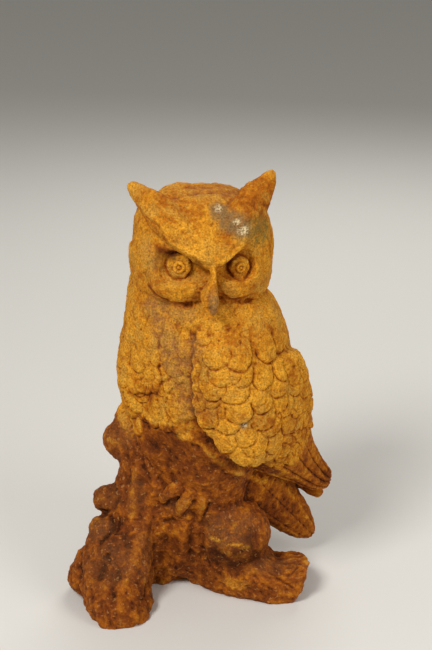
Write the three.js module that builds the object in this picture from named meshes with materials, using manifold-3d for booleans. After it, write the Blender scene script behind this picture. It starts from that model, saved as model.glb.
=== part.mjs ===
// A cast iron owl perched on a tree stump. Millimetres, Z is up, and the stump's front looks along -Y.
// The figure is one casting, so every form below is joined into one closed solid. Its underside is flat,
// and the origin is on the ground under the middle of its bounding box.

import * as THREE from "three";
import { mergeVertices } from "three/addons/utils/BufferGeometryUtils.js";
import Module from "manifold-3d";

const wasm = await Module();
wasm.setup();

// A form is a smooth skin through a line of sections. A section is [x, y, z, half width, half depth,
// facing]. The facing is a compass angle in degrees: 0 turns the section's broad side to the front, and
// more turns it to the right. Fullness says how far the sizes hold before the ends round off, and
// boxiness how square the section is, with 2 for an ellipse. Around and along count its facets.

// The head turns a little to the right, and all that is on it is given about its own centre.
const HEAD_CENTRE = [2, 0, 318];
const HEAD_TURN = 10;

const HEAD = {
  sections: [
    [0, 6, 56, 52, 46, 0],
    [0, 4, 36, 59, 52, 0],
    [0, 0, 6, 60, 52, 0],
    [0, 0, -24, 60, 50, 0],
    [-2, 2, -50, 54, 44, 0],
  ],
  fullness: 4,
  boxiness: 2.5,
  around: 20,
  along: 10,
};

// Each brow runs from the bridge of the beak up and out, and ends in the point of an ear tuft.
const RIGHT_BROW = {
  sections: [
    [0, -56, 4, 7, 8, 0],
    [8, -53, 16, 10, 9, 8],
    [20, -49, 28, 13, 9, 14],
    [29, -42, 42, 17, 11, 20],
    [39, -32, 54, 16, 11, 24],
    [49, -28, 65, 10, 8, 24],
    [57, -26, 76, 4, 5, 24],
  ],
  fullness: 5,
  boxiness: 2,
  around: 10,
  along: 8,
};
const LEFT_BROW = {
  sections: [
    [0, -56, 4, 7, 8, 0],
    [-8, -54, 14, 10, 9, -8],
    [-20, -49, 25, 12, 9, -16],
    [-32, -42, 37, 15, 11, -26],
    [-42, -31, 48, 14, 11, -34],
    [-54, -20, 58, 9, 8, -40],
    [-64, -13, 67, 6, 7, -40],
  ],
  fullness: 5,
  boxiness: 2,
  around: 10,
  along: 8,
};

const BEAK = {
  sections: [
    [0, -60, 12, 3, 6, 0],
    [-1, -63, 2, 3, 6, 0],
    [-2, -64, -9, 4.5, 8, 0],
    [-3, -65, -19, 7, 9, 0],
    [-3, -68, -28, 4.5, 6, 0],
    [-3, -69, -33, 2, 3, 0],
  ],
  fullness: 5,
  boxiness: 2,
  around: 8,
  along: 7,
};

// The forehead is a shield between the brows, which narrows down to the bridge of the beak.
const FOREHEAD = {
  sections: [
    [0, -46, 4, 6, 14, 0],
    [0, -43, 18, 16, 16, 0],
    [0, -38, 30, 28, 17, 0],
    [0, -31, 40, 36, 17, 0],
    [0, -18, 47, 40, 16, 0],
  ],
  fullness: 4,
  boxiness: 2.2,
  around: 12,
  along: 7,
};
// The fold of loose feathers under the beak.
const BIB = {
  sections: [
    [-36, -36, -32, 8, 8, 0],
    [-20, -44, -41, 13, 10, 0],
    [-5, -47, -43, 15, 11, 0],
    [10, -46, -41, 12, 10, 0],
    [22, -42, -36, 8, 8, 0],
  ],
  fullness: 4,
  boxiness: 2,
  around: 8,
  along: 6,
};

// The cheeks are rounded facial discs. Each eye is a raised ring round a pupil, deep in its socket.
const CHEEKS = [
  { centre: [-29, -40, -4], turn: -14 },
  { centre: [28, -40, -3], turn: 14 },
];
const CHEEK = { radii: [26, 15, 28], around: 14, along: 9 };
const EYES = [
  { centre: [-29, -49, 3.5], turn: -10 },
  { centre: [25, -49, 0.5], turn: 10 },
];
const SOCKET = { radii: [15, 9, 13], forward: 6, around: 12, along: 7 };
const EYE = { radius: 9.5, pupil: 4.5, height: 3.5, around: 12 };

// The owl's body. Its breast looks to the left, and its rump turns further, so the tail swings right.
const BODY = {
  sections: [
    [0, 8, 328, 52, 42, 0],
    [-1, 7, 304, 60, 50, 0],
    [-3, 5, 280, 66, 56, -10],
    [2, 3, 250, 69, 62, -26],
    [7, 5, 218, 70, 66, -28],
    [11, 9, 184, 71, 67, -30],
    [14, 12, 154, 64, 60, -34],
    [20, 18, 124, 52, 48, -40],
    [28, 24, 96, 40, 38, -46],
  ],
  fullness: 4,
  boxiness: 2.2,
  around: 20,
  along: 11,
};
const BELLY = {
  sections: [
    [4, -8, 176, 44, 46, -20],
    [6, -6, 140, 46, 40, -14],
    [10, 0, 106, 44, 34, -8],
    [14, 6, 74, 40, 30, -4],
  ],
  fullness: 3,
  boxiness: 2,
  around: 14,
  along: 7,
};
// The far flank, a ridge that runs down from under the far wing into the stump.
const FLANK = {
  sections: [
    [-41, 8, 216, 12, 13, -54],
    [-45, -4, 190, 17, 14, -50],
    [-43, -10, 162, 20, 14, -46],
    [-35, -15, 134, 20, 14, -40],
    [-19, -16, 104, 17, 12, -30],
  ],
  fullness: 3,
  boxiness: 2,
  around: 10,
  along: 6,
};

const NEAR_WING = {
  sections: [
    [26, -28, 278, 28, 24, 36],
    [30, -27, 252, 41, 30, 42],
    [34, -25, 224, 52, 34, 47],
    [45, -18, 194, 59, 33, 50],
    [58, -6, 168, 50, 31, 54],
    [74, 9, 142, 35, 24, 58],
    [92, 23, 116, 21, 15, 60],
    [109, 34, 95, 13, 9, 60],
    [123, 42, 82, 7, 6, 60],
  ],
  fullness: 5,
  boxiness: 2.6,
  around: 16,
  along: 12,
};
// The far wing folds round the back, and its tip crosses under the near wing's tip.
const FAR_WING = {
  sections: [
    [-30, 2, 276, 28, 24, -92],
    [-32, 8, 252, 42, 30, -98],
    [-31, 16, 224, 53, 34, -104],
    [-28, 26, 194, 56, 33, -112],
    [-18, 40, 166, 52, 31, -126],
    [6, 53, 140, 40, 26, -150],
    [42, 58, 114, 26, 17, -176],
    [84, 56, 90, 15, 9, -190],
    [117, 46, 66, 7, 5, -200],
  ],
  fullness: 5,
  boxiness: 2.6,
  around: 16,
  along: 12,
};
const TAIL = {
  sections: [
    [34, 20, 128, 30, 22, 32],
    [52, 26, 98, 26, 18, 34],
    [74, 34, 66, 21, 13, 36],
    [94, 42, 38, 15, 10, 38],
    [107, 46, 20, 7, 7, 40],
  ],
  fullness: 5,
  boxiness: 2.6,
  around: 10,
  along: 7,
};

// Rows of overlapping feathers, from one share of a form's length to another and between two angles.
const FEATHER = { thickness: 3.2, root: 8, tilt: 13, lengthening: 1.15, pitch: 1.7, around: 8, along: 4 };
const FEATHER_FIELDS = [
  { form: NEAR_WING, along: [0.13, 0.62], rows: 6, round: [40, 174], halfWidth: 12.5 },
  { form: FAR_WING, along: [0.14, 0.56], rows: 4, round: [20, 150], halfWidth: 17 },
  { form: BODY, along: [0.38, 0.63], rows: 4, round: [72, 108], halfWidth: 11 },
  { form: BODY, along: [0.25, 0.5], rows: 3, round: [240, 300], halfWidth: 18 },
];
// Long flight feathers that lie along the ends of the wings, at these angles round them.
const FLIGHT = { along: [0.6, 0.97], halfWidth: 8, thickness: 4, taper: 0.45, around: 6, facets: 5 };
const FLIGHT_FEATHERS = [
  { form: NEAR_WING, angles: [172, 138, 104] },
  { form: FAR_WING, angles: [100, 60] },
];

const STUMP = {
  sections: [
    [-56, 18, 168, 20, 22, -10],
    [-56, 16, 146, 24, 26, -10],
    [-46, 14, 120, 30, 34, -8],
    [-32, 12, 92, 44, 40, -4],
    [-22, 12, 60, 56, 42, 0],
    [-18, 16, 28, 62, 41, 0],
    [-14, 18, -12, 68, 40, 0],
  ],
  fullness: 5,
  boxiness: 2.4,
  around: 18,
  along: 8,
};
const FRONT_ROOT = {
  sections: [
    [-52, 4, 118, 14, 16, 60],
    [-58, -3, 92, 20, 22, 66],
    [-66, -12, 64, 26, 27, 72],
    [-74, -24, 38, 30, 32, 80],
    [-76, -46, 18, 24, 32, 90],
    [-72, -68, 8, 20, 28, 96],
    [-68, -90, 0, 14, 20, 100],
  ],
  fullness: 6,
  boxiness: 2.2,
  around: 14,
  along: 8,
};
const LEFT_SPUR = {
  sections: [
    [-84, -12, 40, 14, 16, 90],
    [-97, -22, 20, 22, 19, 90],
    [-107, -34, 0, 26, 20, 90],
  ],
  fullness: 3,
  boxiness: 2,
  around: 10,
  along: 5,
};
// The right root is a broken branch that lies on the ground and is cut off by a leaning face.
const RIGHT_ROOT = {
  sections: [
    [-4, 8, 24, 24, 24, 0],
    [18, -5, 21, 27, 27, 0],
    [42, -17, 17, 26, 28, 0],
    [66, -25, 11, 20, 26, 0],
    [92, -26, 12, 20, 24, 0],
    [118, -30, 12, 20, 22, 0],
  ],
  fullness: 8,
  boxiness: 2.8,
  around: 14,
  along: 7,
};
const RIGHT_ROOT_END = { x: 86, lean: 22, height: 120 };
const BACK_ROOT = {
  sections: [
    [-10, 30, 70, 30, 26, 160],
    [4, 46, 36, 32, 28, 160],
    [18, 62, 8, 26, 26, 160],
    [26, 74, -14, 20, 20, 160],
  ],
  fullness: 4,
  boxiness: 2.2,
  around: 12,
  along: 6,
};

// The smooth burl at the front, and smaller growths up the stump's left side.
const BURL = { centre: [29, -18, 56], radii: [31, 31, 30], around: 16, along: 10 };
const GROWTHS = [
  { centre: [-84, 2, 86], radii: [17, 14, 11], around: 8, along: 6 },
  { centre: [-90, -6, 58], radii: [14, 14, 9], around: 8, along: 6 },
  { centre: [-74, 14, 133], radii: [17, 18, 15], around: 8, along: 6 },
  { centre: [-60, 16, 156], radii: [16, 18, 12], around: 8, along: 6 },
];
// The claws grip the stump under the breast.
const TOES = [
  { start: [-3, -29, 114], end: [-22, -28, 90], radius: 8 },
  { start: [-20, -29, 116], end: [-36, -22, 98], radius: 8 },
  { start: [0, -28, 100], end: [1, -28, 80], radius: 7 },
];
const TOE_FACETS = { cap: 2, around: 7 };
// A low arch under the front, between the roots.
const ARCH = { centre: [-20, -46, 0], radii: [24, 40, 16], around: 14, along: 8 };
const GROUND_SIZE = 600;

// Brown orange rust, matt all over.
const RUST = { color: 0xb07a2a, roughness: 0.92, metalness: 0.1 };

const radians = THREE.MathUtils.degToRad;

// The smooth lines of centres and of sizes through a form's sections.
function linesOf(form) {
  const line = (points) => new THREE.CatmullRomCurve3(points, false, "catmullrom");
  return {
    centres: line(form.sections.map(([x, y, z]) => new THREE.Vector3(x, y, z))),
    sizes: line(form.sections.map(([, , , ...size]) => new THREE.Vector3(...size))),
  };
}

// A power that keeps its sign, which turns a circle into a rounded box.
function signedPower(value, power) {
  return Math.sign(value) * Math.abs(value) ** power;
}

// The point of a form's skin at an angle round it and at a share t of its length. Angle 90 is the
// middle of its broad side, 0 and 180 are its edges, and its radius closes to nothing at both ends.
function skinPoint(form, { centres, sizes }, degrees, t) {
  const [halfWidth, halfDepth, facing] = sizes.getPoint(t).toArray();
  const along = centres.getTangent(t);
  const out = new THREE.Vector3(Math.sin(radians(facing)), -Math.cos(radians(facing)), 0);
  out.addScaledVector(along, -out.dot(along)).normalize();
  const side = new THREE.Vector3().crossVectors(out, along);
  const closing = Math.max(0, 1 - Math.abs(2 * t - 1) ** form.fullness) ** (1 / form.fullness);
  const power = 2 / form.boxiness;
  return centres
    .getPoint(t)
    .addScaledVector(side, closing * halfWidth * signedPower(Math.cos(radians(degrees)), power))
    .addScaledVector(out, closing * halfDepth * signedPower(Math.sin(radians(degrees)), power));
}

// A sphere's vertices moved onto the form's skin, so that its poles close the two ends.
function formGeometry(form) {
  const lines = linesOf(form);
  const geometry = new THREE.SphereGeometry(1, form.around, form.along);
  const position = geometry.attributes.position;
  for (let i = 0; i < position.count; i++) {
    const degrees = THREE.MathUtils.radToDeg(Math.atan2(position.getZ(i), position.getX(i)));
    const t = THREE.MathUtils.clamp((1 - position.getY(i)) / 2, 0, 1);
    position.setXYZ(i, ...skinPoint(form, lines, degrees, t).toArray());
  }
  return geometry;
}

function ballGeometry({ centre = [0, 0, 0], radii, around, along }) {
  return new THREE.SphereGeometry(1, around, along).scale(...radii).translate(...centre);
}

// A geometry turned about the vertical and moved to its place.
function placed(geometry, centre, turn) {
  return geometry.rotateZ(radians(turn)).translate(...centre);
}

function toeGeometry({ start, end, radius }) {
  const from = new THREE.Vector3(...start);
  const run = new THREE.Vector3(...end).sub(from);
  const { cap, around } = TOE_FACETS;
  const geometry = new THREE.CapsuleGeometry(radius, run.length(), cap, around);
  const upright = new THREE.Vector3(0, 1, 0);
  const turn = new THREE.Quaternion().setFromUnitVectors(upright, run.clone().normalize());
  const middle = from.addScaledVector(run, 1 / 2);
  return geometry.applyQuaternion(turn).translate(...middle.toArray());
}

// An eye turned on a lathe: a raised ring, a groove and a round pupil.
function eyeGeometry() {
  const { radius, pupil, height, around } = EYE;
  const foot = -4 * height;
  const profile = [
    [0, foot],
    [radius, foot],
    [radius, 0],
    [0.88 * radius, 0.6 * height],
    [0.72 * radius, 0.6 * height],
    [1.2 * pupil, 0],
    [0.8 * pupil, height],
    [0, height],
  ].map(([x, y]) => new THREE.Vector2(x, y));
  return new THREE.LatheGeometry(profile, around).rotateX(Math.PI);
}

// One feather: a low dome whose tip is tilted off the skin, with a deep root that joins it to the body.
function featherGeometry(form, lines, degrees, t, halfWidth) {
  const { thickness, root, tilt, lengthening, around, along } = FEATHER;
  const shareStep = 0.01;
  const angleStep = 3;
  const point = skinPoint(form, lines, degrees, t);
  const down = skinPoint(form, lines, degrees, t + shareStep).sub(point).normalize();
  const across = skinPoint(form, lines, degrees - angleStep, t).sub(point).normalize();
  const out = new THREE.Vector3().crossVectors(down, across).normalize();
  across.crossVectors(out, down);
  const place = new THREE.Matrix4().makeBasis(across, out, down).setPosition(point);
  const geometry = new THREE.SphereGeometry(1, around, along);
  const position = geometry.attributes.position;
  for (let i = 0; i < position.count; i++) {
    const height = position.getY(i);
    position.setY(i, height * (height < 0 ? root : thickness));
  }
  return geometry
    .scale(halfWidth, 1, halfWidth * lengthening)
    .rotateX(-radians(tilt))
    .applyMatrix4(place);
}

// Angles round a form at t, evenly spaced along its skin between two angles.
function evenAngles(form, lines, t, [from, to], count, shift) {
  const steps = 40;
  const angles = Array.from({ length: steps + 1 }, (_, i) => THREE.MathUtils.lerp(from, to, i / steps));
  const points = angles.map((degrees) => skinPoint(form, lines, degrees, t));
  const travelled = [0];
  for (let i = 1; i <= steps; i++) {
    travelled.push(travelled[i - 1] + points[i].distanceTo(points[i - 1]));
  }
  return Array.from({ length: count }, (_, column) => {
    const wanted = (travelled[steps] * (column + shift)) / count;
    const i = Math.max(1, travelled.findIndex((length) => length >= wanted));
    const share = (wanted - travelled[i - 1]) / (travelled[i] - travelled[i - 1]);
    return THREE.MathUtils.lerp(angles[i - 1], angles[i], share);
  });
}

// Rows of feathers that overlap like tiles: every second row is shifted by half a feather.
function featherField({ form, along, rows, round, halfWidth }) {
  const lines = linesOf(form);
  const feathers = [];
  for (let row = 0; row < rows; row++) {
    const t = THREE.MathUtils.lerp(along[0], along[1], row / (rows - 1));
    const [wide, deep] = lines.sizes.getPoint(t).toArray();
    const span = (radians(round[1] - round[0]) * (wide + deep)) / 2;
    const count = Math.max(1, Math.round(span / (FEATHER.pitch * halfWidth)));
    const shift = row % 2 ? 1 / 4 : 3 / 4;
    for (const degrees of evenAngles(form, lines, t, round, count, shift)) {
      feathers.push(featherGeometry(form, lines, degrees, t, halfWidth));
    }
  }
  return feathers;
}

// A flight feather: a long narrow form whose centres follow a wing's skin at one angle.
function flightGeometry(wing, degrees) {
  const { along, halfWidth, thickness, taper, around, facets } = FLIGHT;
  const lines = linesOf(wing);
  const stations = 4;
  const sections = Array.from({ length: stations + 1 }, (_, i) => {
    const t = THREE.MathUtils.lerp(along[0], along[1], i / stations);
    const narrowing = THREE.MathUtils.lerp(1, taper, i / stations);
    const facing = lines.sizes.getPoint(t).z;
    return [...skinPoint(wing, lines, degrees, t).toArray(), halfWidth * narrowing, thickness, facing];
  });
  return formGeometry({ sections, fullness: 4, boxiness: 2, around, along: facets });
}

// A closed geometry as a solid: its vertices are merged by place alone.
function solidOf(geometry) {
  geometry.deleteAttribute("normal");
  geometry.deleteAttribute("uv");
  const merged = mergeVertices(geometry, 1e-3);
  return new wasm.Manifold(
    new wasm.Mesh({
      numProp: 3,
      vertProperties: merged.attributes.position.array,
      triVerts: new Uint32Array(merged.index.array),
    }),
  );
}

function join(geometries) {
  return geometries.map(solidOf).reduce((whole, piece) => whole.add(piece));
}

// The head: its sockets are sunk in the cheeks before the eyes and the overhanging brows are added.
function headSolid() {
  const cheeks = CHEEKS.map(({ centre, turn }) => placed(ballGeometry(CHEEK), centre, turn));
  const sockets = EYES.map(({ centre: [x, y, z], turn }) => {
    return placed(ballGeometry(SOCKET), [x, y - SOCKET.forward, z], turn);
  });
  const eyes = EYES.map(({ centre, turn }) => placed(eyeGeometry(), centre, turn));
  const features = [FOREHEAD, RIGHT_BROW, LEFT_BROW, BEAK, BIB].map(formGeometry);
  return join([formGeometry(HEAD), ...cheeks])
    .subtract(join(sockets))
    .add(join([...eyes, ...features]))
    .rotate([0, 0, HEAD_TURN])
    .translate(HEAD_CENTRE);
}

function bodyGeometries() {
  return [
    ...[BODY, BELLY, FLANK, NEAR_WING, FAR_WING, TAIL].map(formGeometry),
    ...FEATHER_FIELDS.flatMap(featherField),
    ...FLIGHT_FEATHERS.flatMap(({ form, angles }) => angles.map((angle) => flightGeometry(form, angle))),
    ...TOES.map(toeGeometry),
  ];
}

function stumpGeometries() {
  const forms = [STUMP, FRONT_ROOT, LEFT_SPUR, RIGHT_ROOT, BACK_ROOT].map(formGeometry);
  return [...forms, ...[BURL, ...GROWTHS].map(ballGeometry)];
}

// The block that trims the right root to its broken end.
function rootEndGeometry() {
  const { x, lean, height } = RIGHT_ROOT_END;
  const block = new THREE.BoxGeometry(GROUND_SIZE, GROUND_SIZE, height);
  return block.translate(GROUND_SIZE / 2, 0, 0).rotateY(radians(lean)).translate(x, 0, 0);
}

// All that lies under the ground, and the arch.
function underGeometries() {
  const ground = new THREE.BoxGeometry(GROUND_SIZE, GROUND_SIZE, GROUND_SIZE);
  return [ground.translate(0, 0, -GROUND_SIZE / 2), ballGeometry(ARCH)];
}

function castOwl() {
  const stump = join(stumpGeometries()).subtract(solidOf(rootEndGeometry()));
  const owl = join(bodyGeometries()).add(headSolid());
  return stump.add(owl).subtract(join(underGeometries()));
}

// A named mesh of a solid, moved so that the middle of its box is over the origin.
function centredMesh(name, solid, look) {
  const { vertProperties, triVerts } = solid.getMesh();
  const geometry = new THREE.BufferGeometry();
  geometry.setAttribute("position", new THREE.BufferAttribute(vertProperties, 3));
  geometry.setIndex(new THREE.BufferAttribute(triVerts, 1));
  geometry.computeBoundingBox();
  const middle = geometry.boundingBox.getCenter(new THREE.Vector3());
  geometry.translate(-middle.x, -middle.y, 0).computeVertexNormals();
  const mesh = new THREE.Mesh(geometry, new THREE.MeshStandardMaterial(look));
  mesh.name = name;
  return mesh;
}

const figure = new THREE.Group();
figure.add(centredMesh("cast_iron_owl", castOwl(), RUST));

export default figure;
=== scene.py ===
"""Looks of a cast iron garden owl that has rusted outdoors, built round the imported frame.

The whole figure is one casting, so it is one skin. Its forms are carried along named lines of
sections, joined into one mesh, smoothed as a sand mould leaves them, and then given their feathers,
bark, creases and pits. The tables are in millimetres, and the scene is in metres.
"""

import bmesh
import bpy
import numpy as np
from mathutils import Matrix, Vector


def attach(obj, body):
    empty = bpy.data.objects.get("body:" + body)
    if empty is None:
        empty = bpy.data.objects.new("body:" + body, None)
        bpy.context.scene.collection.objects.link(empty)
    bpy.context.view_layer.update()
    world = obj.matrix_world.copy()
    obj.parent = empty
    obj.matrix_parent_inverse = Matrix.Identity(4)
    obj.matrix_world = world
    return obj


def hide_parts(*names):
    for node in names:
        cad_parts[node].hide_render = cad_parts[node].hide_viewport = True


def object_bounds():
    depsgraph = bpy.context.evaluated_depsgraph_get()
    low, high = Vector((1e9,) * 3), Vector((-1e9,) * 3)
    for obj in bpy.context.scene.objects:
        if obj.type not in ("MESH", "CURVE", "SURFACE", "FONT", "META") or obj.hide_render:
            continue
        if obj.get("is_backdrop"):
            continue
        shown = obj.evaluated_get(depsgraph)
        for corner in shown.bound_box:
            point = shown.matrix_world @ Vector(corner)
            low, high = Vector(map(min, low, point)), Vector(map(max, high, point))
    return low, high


bl_info = {
    "name": "Rusted Cast Iron Owl",
    "version": (1, 0, 0),
    "blender": (4, 5, 0),
    "location": "3D View > Sidebar > Cast Owl",
    "description": "Builds a rusted cast iron owl on a stump over its packed frame",
    "category": "Object",
}

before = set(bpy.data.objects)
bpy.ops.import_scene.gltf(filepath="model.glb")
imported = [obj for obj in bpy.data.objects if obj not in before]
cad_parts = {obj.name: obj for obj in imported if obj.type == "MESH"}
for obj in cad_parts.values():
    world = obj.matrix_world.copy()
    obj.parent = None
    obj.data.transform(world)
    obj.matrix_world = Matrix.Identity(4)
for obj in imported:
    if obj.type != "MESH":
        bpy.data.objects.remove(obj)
CAD_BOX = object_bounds()

NODE = "cast_iron_owl"
BODY_NAME = "root"

MM = 0.001
# The middle of the solid's box in the tables' frame. It stands over the scene's origin.
MIDDLE = np.array([2.978199, -1.242023, 0.0])

# ---- Colours, as sRGB hex values ----

OCHRE = "#ce8921"
POWDER = "#e29f30"
ORANGE_RUST = "#a85d12"
RED_RUST = "#7c3d11"
# The darkest colour: darker crust, and also painted shade in hollows, creases and under overhangs.
DARK_RUST_AND_PAINTED_SHADE = "#421d06"
WORN_MAUVE = "#9e6a37"
DULL_BROWN = "#6c4325"
BARE_GREY = "#846a42"
# Pale colour of the painted highlights on polished metal.
PAINTED_HIGHLIGHT_ON_IRON = "#d8c092"
OLIVE = "#8c7434"
DUSTY_TAN = "#bb8a3a"
GLINT = "#b9854a"
FLOOR = "#d9d6cf"

# ---- Forms ----


def lofted(fullness, boxiness, *rows):
    """A form carried along a line: how full its ends and how boxy its sections are, and the sections from
    one end to the other, each as x, y, z, half width, half depth and facing in degrees. A section without
    a facing faces the front."""
    return {"rows": [(*row, 0)[:6] for row in rows], "fullness": fullness, "boxiness": boxiness}


# The head's middle and how far it is turned. The head's own forms stand round that middle.
HEAD_CENTRE = np.array([2.0, 0.0, 318.0])
HEAD_TURN = 10.0

HEAD = lofted(
    4, 2.5,
    (-8, 6, 56, 46, 43), (-6, 4, 37, 54.5, 50), (-1.2, 1, 16, 61, 52), (-1, 0, -6, 61.5, 51),
    (0, 2, -28, 59, 45), (-2, 4, -50, 51, 38),
)
RIGHT_BROW = lofted(
    5, 2,
    (0, -56, 4, 7, 8), (8, -53, 16, 10, 9, 8), (20, -49, 28, 13, 9, 14), (29, -42, 42, 17, 11, 20),
    (39, -32, 54, 16, 11, 24), (49, -28, 65, 10, 8, 24), (57, -26, 76, 4, 5, 24),
)
LEFT_BROW = lofted(
    5, 2,
    (0, -56, 4, 7, 8), (-8, -54, 14, 10, 9, -8), (-20, -49, 25, 12, 9, -16), (-32, -42, 37, 15, 11, -26),
    (-42, -31, 48, 14, 11, -34), (-54, -20, 58, 9, 8, -40), (-64, -13, 67, 6, 7, -40),
)
BRIDGE = lofted(
    8, 2,
    (0, -58, 8, 2.3, 6), (-0.8, -60, 0, 2.4, 6), (-1.6, -62, -7, 3.3, 7), (-3, -62.5, -13, 5.6, 9.5),
    (-4.6, -62.5, -19, 7.4, 10.5), (-6, -60.5, -25, 6.2, 10),
)
HOOK = lofted(
    5, 2,
    (-1.6, -61, -8, 2.4, 9), (-1.4, -63.2, -16, 3.8, 11), (-1.4, -63.8, -22, 4.2, 11.5),
    (-1.8, -62, -27, 3.8, 10.5), (-2.2, -58.5, -31, 2.8, 8.5),
)
FOREHEAD = lofted(
    4, 2.2,
    (0, -48, 2, 6, 15), (0, -44, 16, 17, 18), (0, -39, 30, 30, 19), (0, -31, 41, 38, 18),
    (0, -18, 49.5, 42, 16),
)
BIB = lofted(
    4, 2,
    (-36, -36, -32, 8, 8), (-20, -44, -41, 13, 10), (-5, -47, -43, 15, 11), (10, -46, -41, 12, 10),
    (22, -42, -36, 8, 8),
)
BODY = lofted(
    4, 2.2,
    (0, 8, 328, 48, 42), (-2, 7, 304, 55.5, 49), (-4.2, 5, 280, 61.2, 55, -10),
    (1.4, 3, 250, 71.2, 62, -26), (9, 5, 218, 72, 66, -28), (11, 9, 184, 71, 67, -30),
    (14, 12, 154, 64, 60, -34), (20, 18, 124, 52, 48, -40), (28, 24, 96, 40, 38, -46),
)
BELLY = lofted(
    3, 2,
    (4, -8, 176, 44, 46, -20), (5, -6, 140, 44, 40, -14), (6, 0, 106, 39, 36, -8), (10, 4, 74, 34, 34, -4),
    (14, 8, 44, 36, 28),
)
FLANK = lofted(
    3, 2,
    (-41, 8, 216, 12, 13, -54), (-45, -4, 190, 17, 14, -50), (-43, -10, 162, 20, 14, -46),
    (-35, -15, 134, 20, 14, -40), (-19, -16, 104, 17, 12, -30),
)
NEAR_WING = lofted(
    5, 2.6,
    (26, -29, 280, 26, 24, 36), (27, -30.5, 252, 35, 31, 42), (26.4, -34.2, 224, 39.5, 36.5, 47),
    (45.2, -21.8, 191.5, 57.5, 37, 50), (59, -6, 168, 50, 33, 54), (71.5, 5.5, 140, 36.5, 25, 58),
    (89, 19, 113, 23.5, 15, 60), (107, 31, 91, 16, 9.5, 60), (121.5, 41, 79, 10.5, 7, 60),
)
FAR_WING = lofted(
    5, 2.6,
    (-30, 0, 270, 20, 20, -92), (-33, 6, 250, 36, 34, -98), (-32, 16, 224, 53, 39, -104),
    (-28.5, 26, 194, 56, 36, -112), (-18, 40, 166, 52, 31, -126), (6, 53, 140, 40, 26, -150),
    (42, 58, 114, 26, 17, -176), (84, 54, 87, 15, 9, -190), (115, 44, 61, 9, 6, -200),
)
TAIL = lofted(
    5, 2.6,
    (24, 8, 132, 32, 27, 32), (46, 17, 98, 30, 23, 34), (71, 32, 63, 24, 16, 36),
    (93, 41, 35, 16.5, 11, 38), (106, 46, 18, 8, 8, 40),
)
STUMP = lofted(
    5, 2.4,
    (-56, 18, 168, 20, 22, -10), (-56, 16, 146, 24, 26, -10), (-46, 14, 120, 30, 34, -8),
    (-32, 12, 92, 44, 40, -4), (-22, 12, 60, 56, 42), (-18, 16, 28, 62, 41), (-14, 18, -12, 68, 40),
)
FRONT_ROOT = lofted(
    6, 2.2,
    (-52, 4, 118, 14, 16, 60), (-58, -3, 92, 20, 22, 66), (-64.5, -12, 64, 24, 26, 72),
    (-74, -24, 38, 30, 32, 80), (-76, -46, 18, 24, 32, 90), (-72, -68, 8, 20, 28, 96),
    (-68, -90, 0, 14, 20, 100),
)
LEFT_SPUR = lofted(
    3, 2,
    (-86, -13, 40, 15, 17, 90), (-98.5, -23, 20, 22, 20, 90), (-107.5, -36, 0, 26, 22, 90),
)
RIGHT_ROOT = lofted(
    8, 2.8,
    (-4, 8, 24, 24, 24), (18, -5, 21, 27, 27), (42, -17, 17, 26, 28), (66, -25, 11, 20, 26),
    (92, -26, 12, 20, 24), (118, -30, 12, 20, 22),
)
BACK_ROOT = lofted(
    4, 2.2,
    (-10, 30, 70, 30, 26, 160), (4, 46, 36, 32, 28, 160), (18, 62, 8, 26, 26, 160),
    (26, 74, -14, 20, 20, 160),
)
# Where the right root is broken off: a plane through that x at the ground, leaning outwards.
ROOT_END_X, ROOT_END_LEAN = 86.0, 22.0

# ---- Balls: centre and radii ----

# The facial discs, each with its turn.
CHEEKS = [
    ((-28, -41, -9), (26, 15, 23), -14), ((-14, -43, -13), (14, 14, 15.5), 0),
    ((22.5, -41, -8), (24, 15, 22.5), 14),
]
# Each eye: its centre, which way it looks and its size.
EYES = [((-27.2, -46.5, 3.2), -8, 0.95), ((23.8, -46.5, 0.2), 10, 0.84)]
CROWN = ((-17, 0, 47), (24, 26, 14))
BURL = ((32, -18, 56), (32, 31, 31))
GROWTHS = [
    ((-83, -6, 84), (16, 14, 13)), ((-89, -20, 61), (13, 13, 11.5)), ((-73, 13, 135), (17, 17, 17)),
    ((-60, 16, 158), (18, 18, 13)),
]
# Hollows: centre, radii, turn, how boxy the outline is, how flat the floor is and how much it comes up
# below. The sockets are in the head's own frame.
SOCKETS = [
    ((-23, -52, 3.5), (21.5, 8.4, 14.5), -5, 5, 12, 0.9),
    ((19.5, -52, 2.5), (18.5, 8.4, 13.5), 6, 5, 12, 0.9),
]
ARCHES = [((-20, -46, 0), (24, 40, 17), 0, 2, 2, 0)]
# Each toe is a bent finger: its line of centres and its radius.
TOES = [
    (((-14, -28, 112), (-24, -31, 104), (-34, -25, 92)), 5.2),
    (((-4, -29, 109), (-12, -32, 96), (-20, -26, 80)), 5.8),
    (((5, -29, 109), (2, -31, 94), (-1, -25, 76)), 4.8),
]

# An eye's profile from its middle out: distance from the middle, height over its centre. Then its rings
# in the same way, as heights over that dome.
EYE_PROFILE = [(0, 4.4), (3, 4.3), (6, 3.9), (8.4, 3.1), (10, 2.1), (10.9, 0.3), (10.9, -12), (0, -12)]
EYE_RINGS = [
    (0, 0.2), (0.9, 0.1), (2, -1.1), (3, 0.6), (4.3, 1.1), (5.3, -0.1), (6.1, -1), (7.1, -0.2), (9, 0.3),
    (10.3, 0), (11.7, -1.3), (13.4, 0),
]

# ---- Relief ----

# Rows of feathers: the form, the shares of its length, the pitch, angles round it, half width, rise.
FEATHER_FIELDS = [
    (NEAR_WING, (0.08, 0.54), 14.2, (26, 184), 11.2, 3.8),
    (FAR_WING, (0.10, 0.50), 12.6, (8, 168), 9.0, 2.8),
    (BODY, (0.24, 0.56), 13.0, (44, 136), 8.6, 2.2),
    (BODY, (0.22, 0.62), 12.6, (236, 304), 10.0, 2.2),
]
# Long flight feathers: the form, the share where they start, the angles of the grooves and their depth.
FLIGHT_GROOVES = [
    (NEAR_WING, 0.60, (20, 52, 82, 110, 138, 166), 1.1),
    (FAR_WING, 0.58, (40, 66, 92, 118, 144), 1.0),
    (TAIL, 0.2, (60, 96, 130), 0.4),
]
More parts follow.
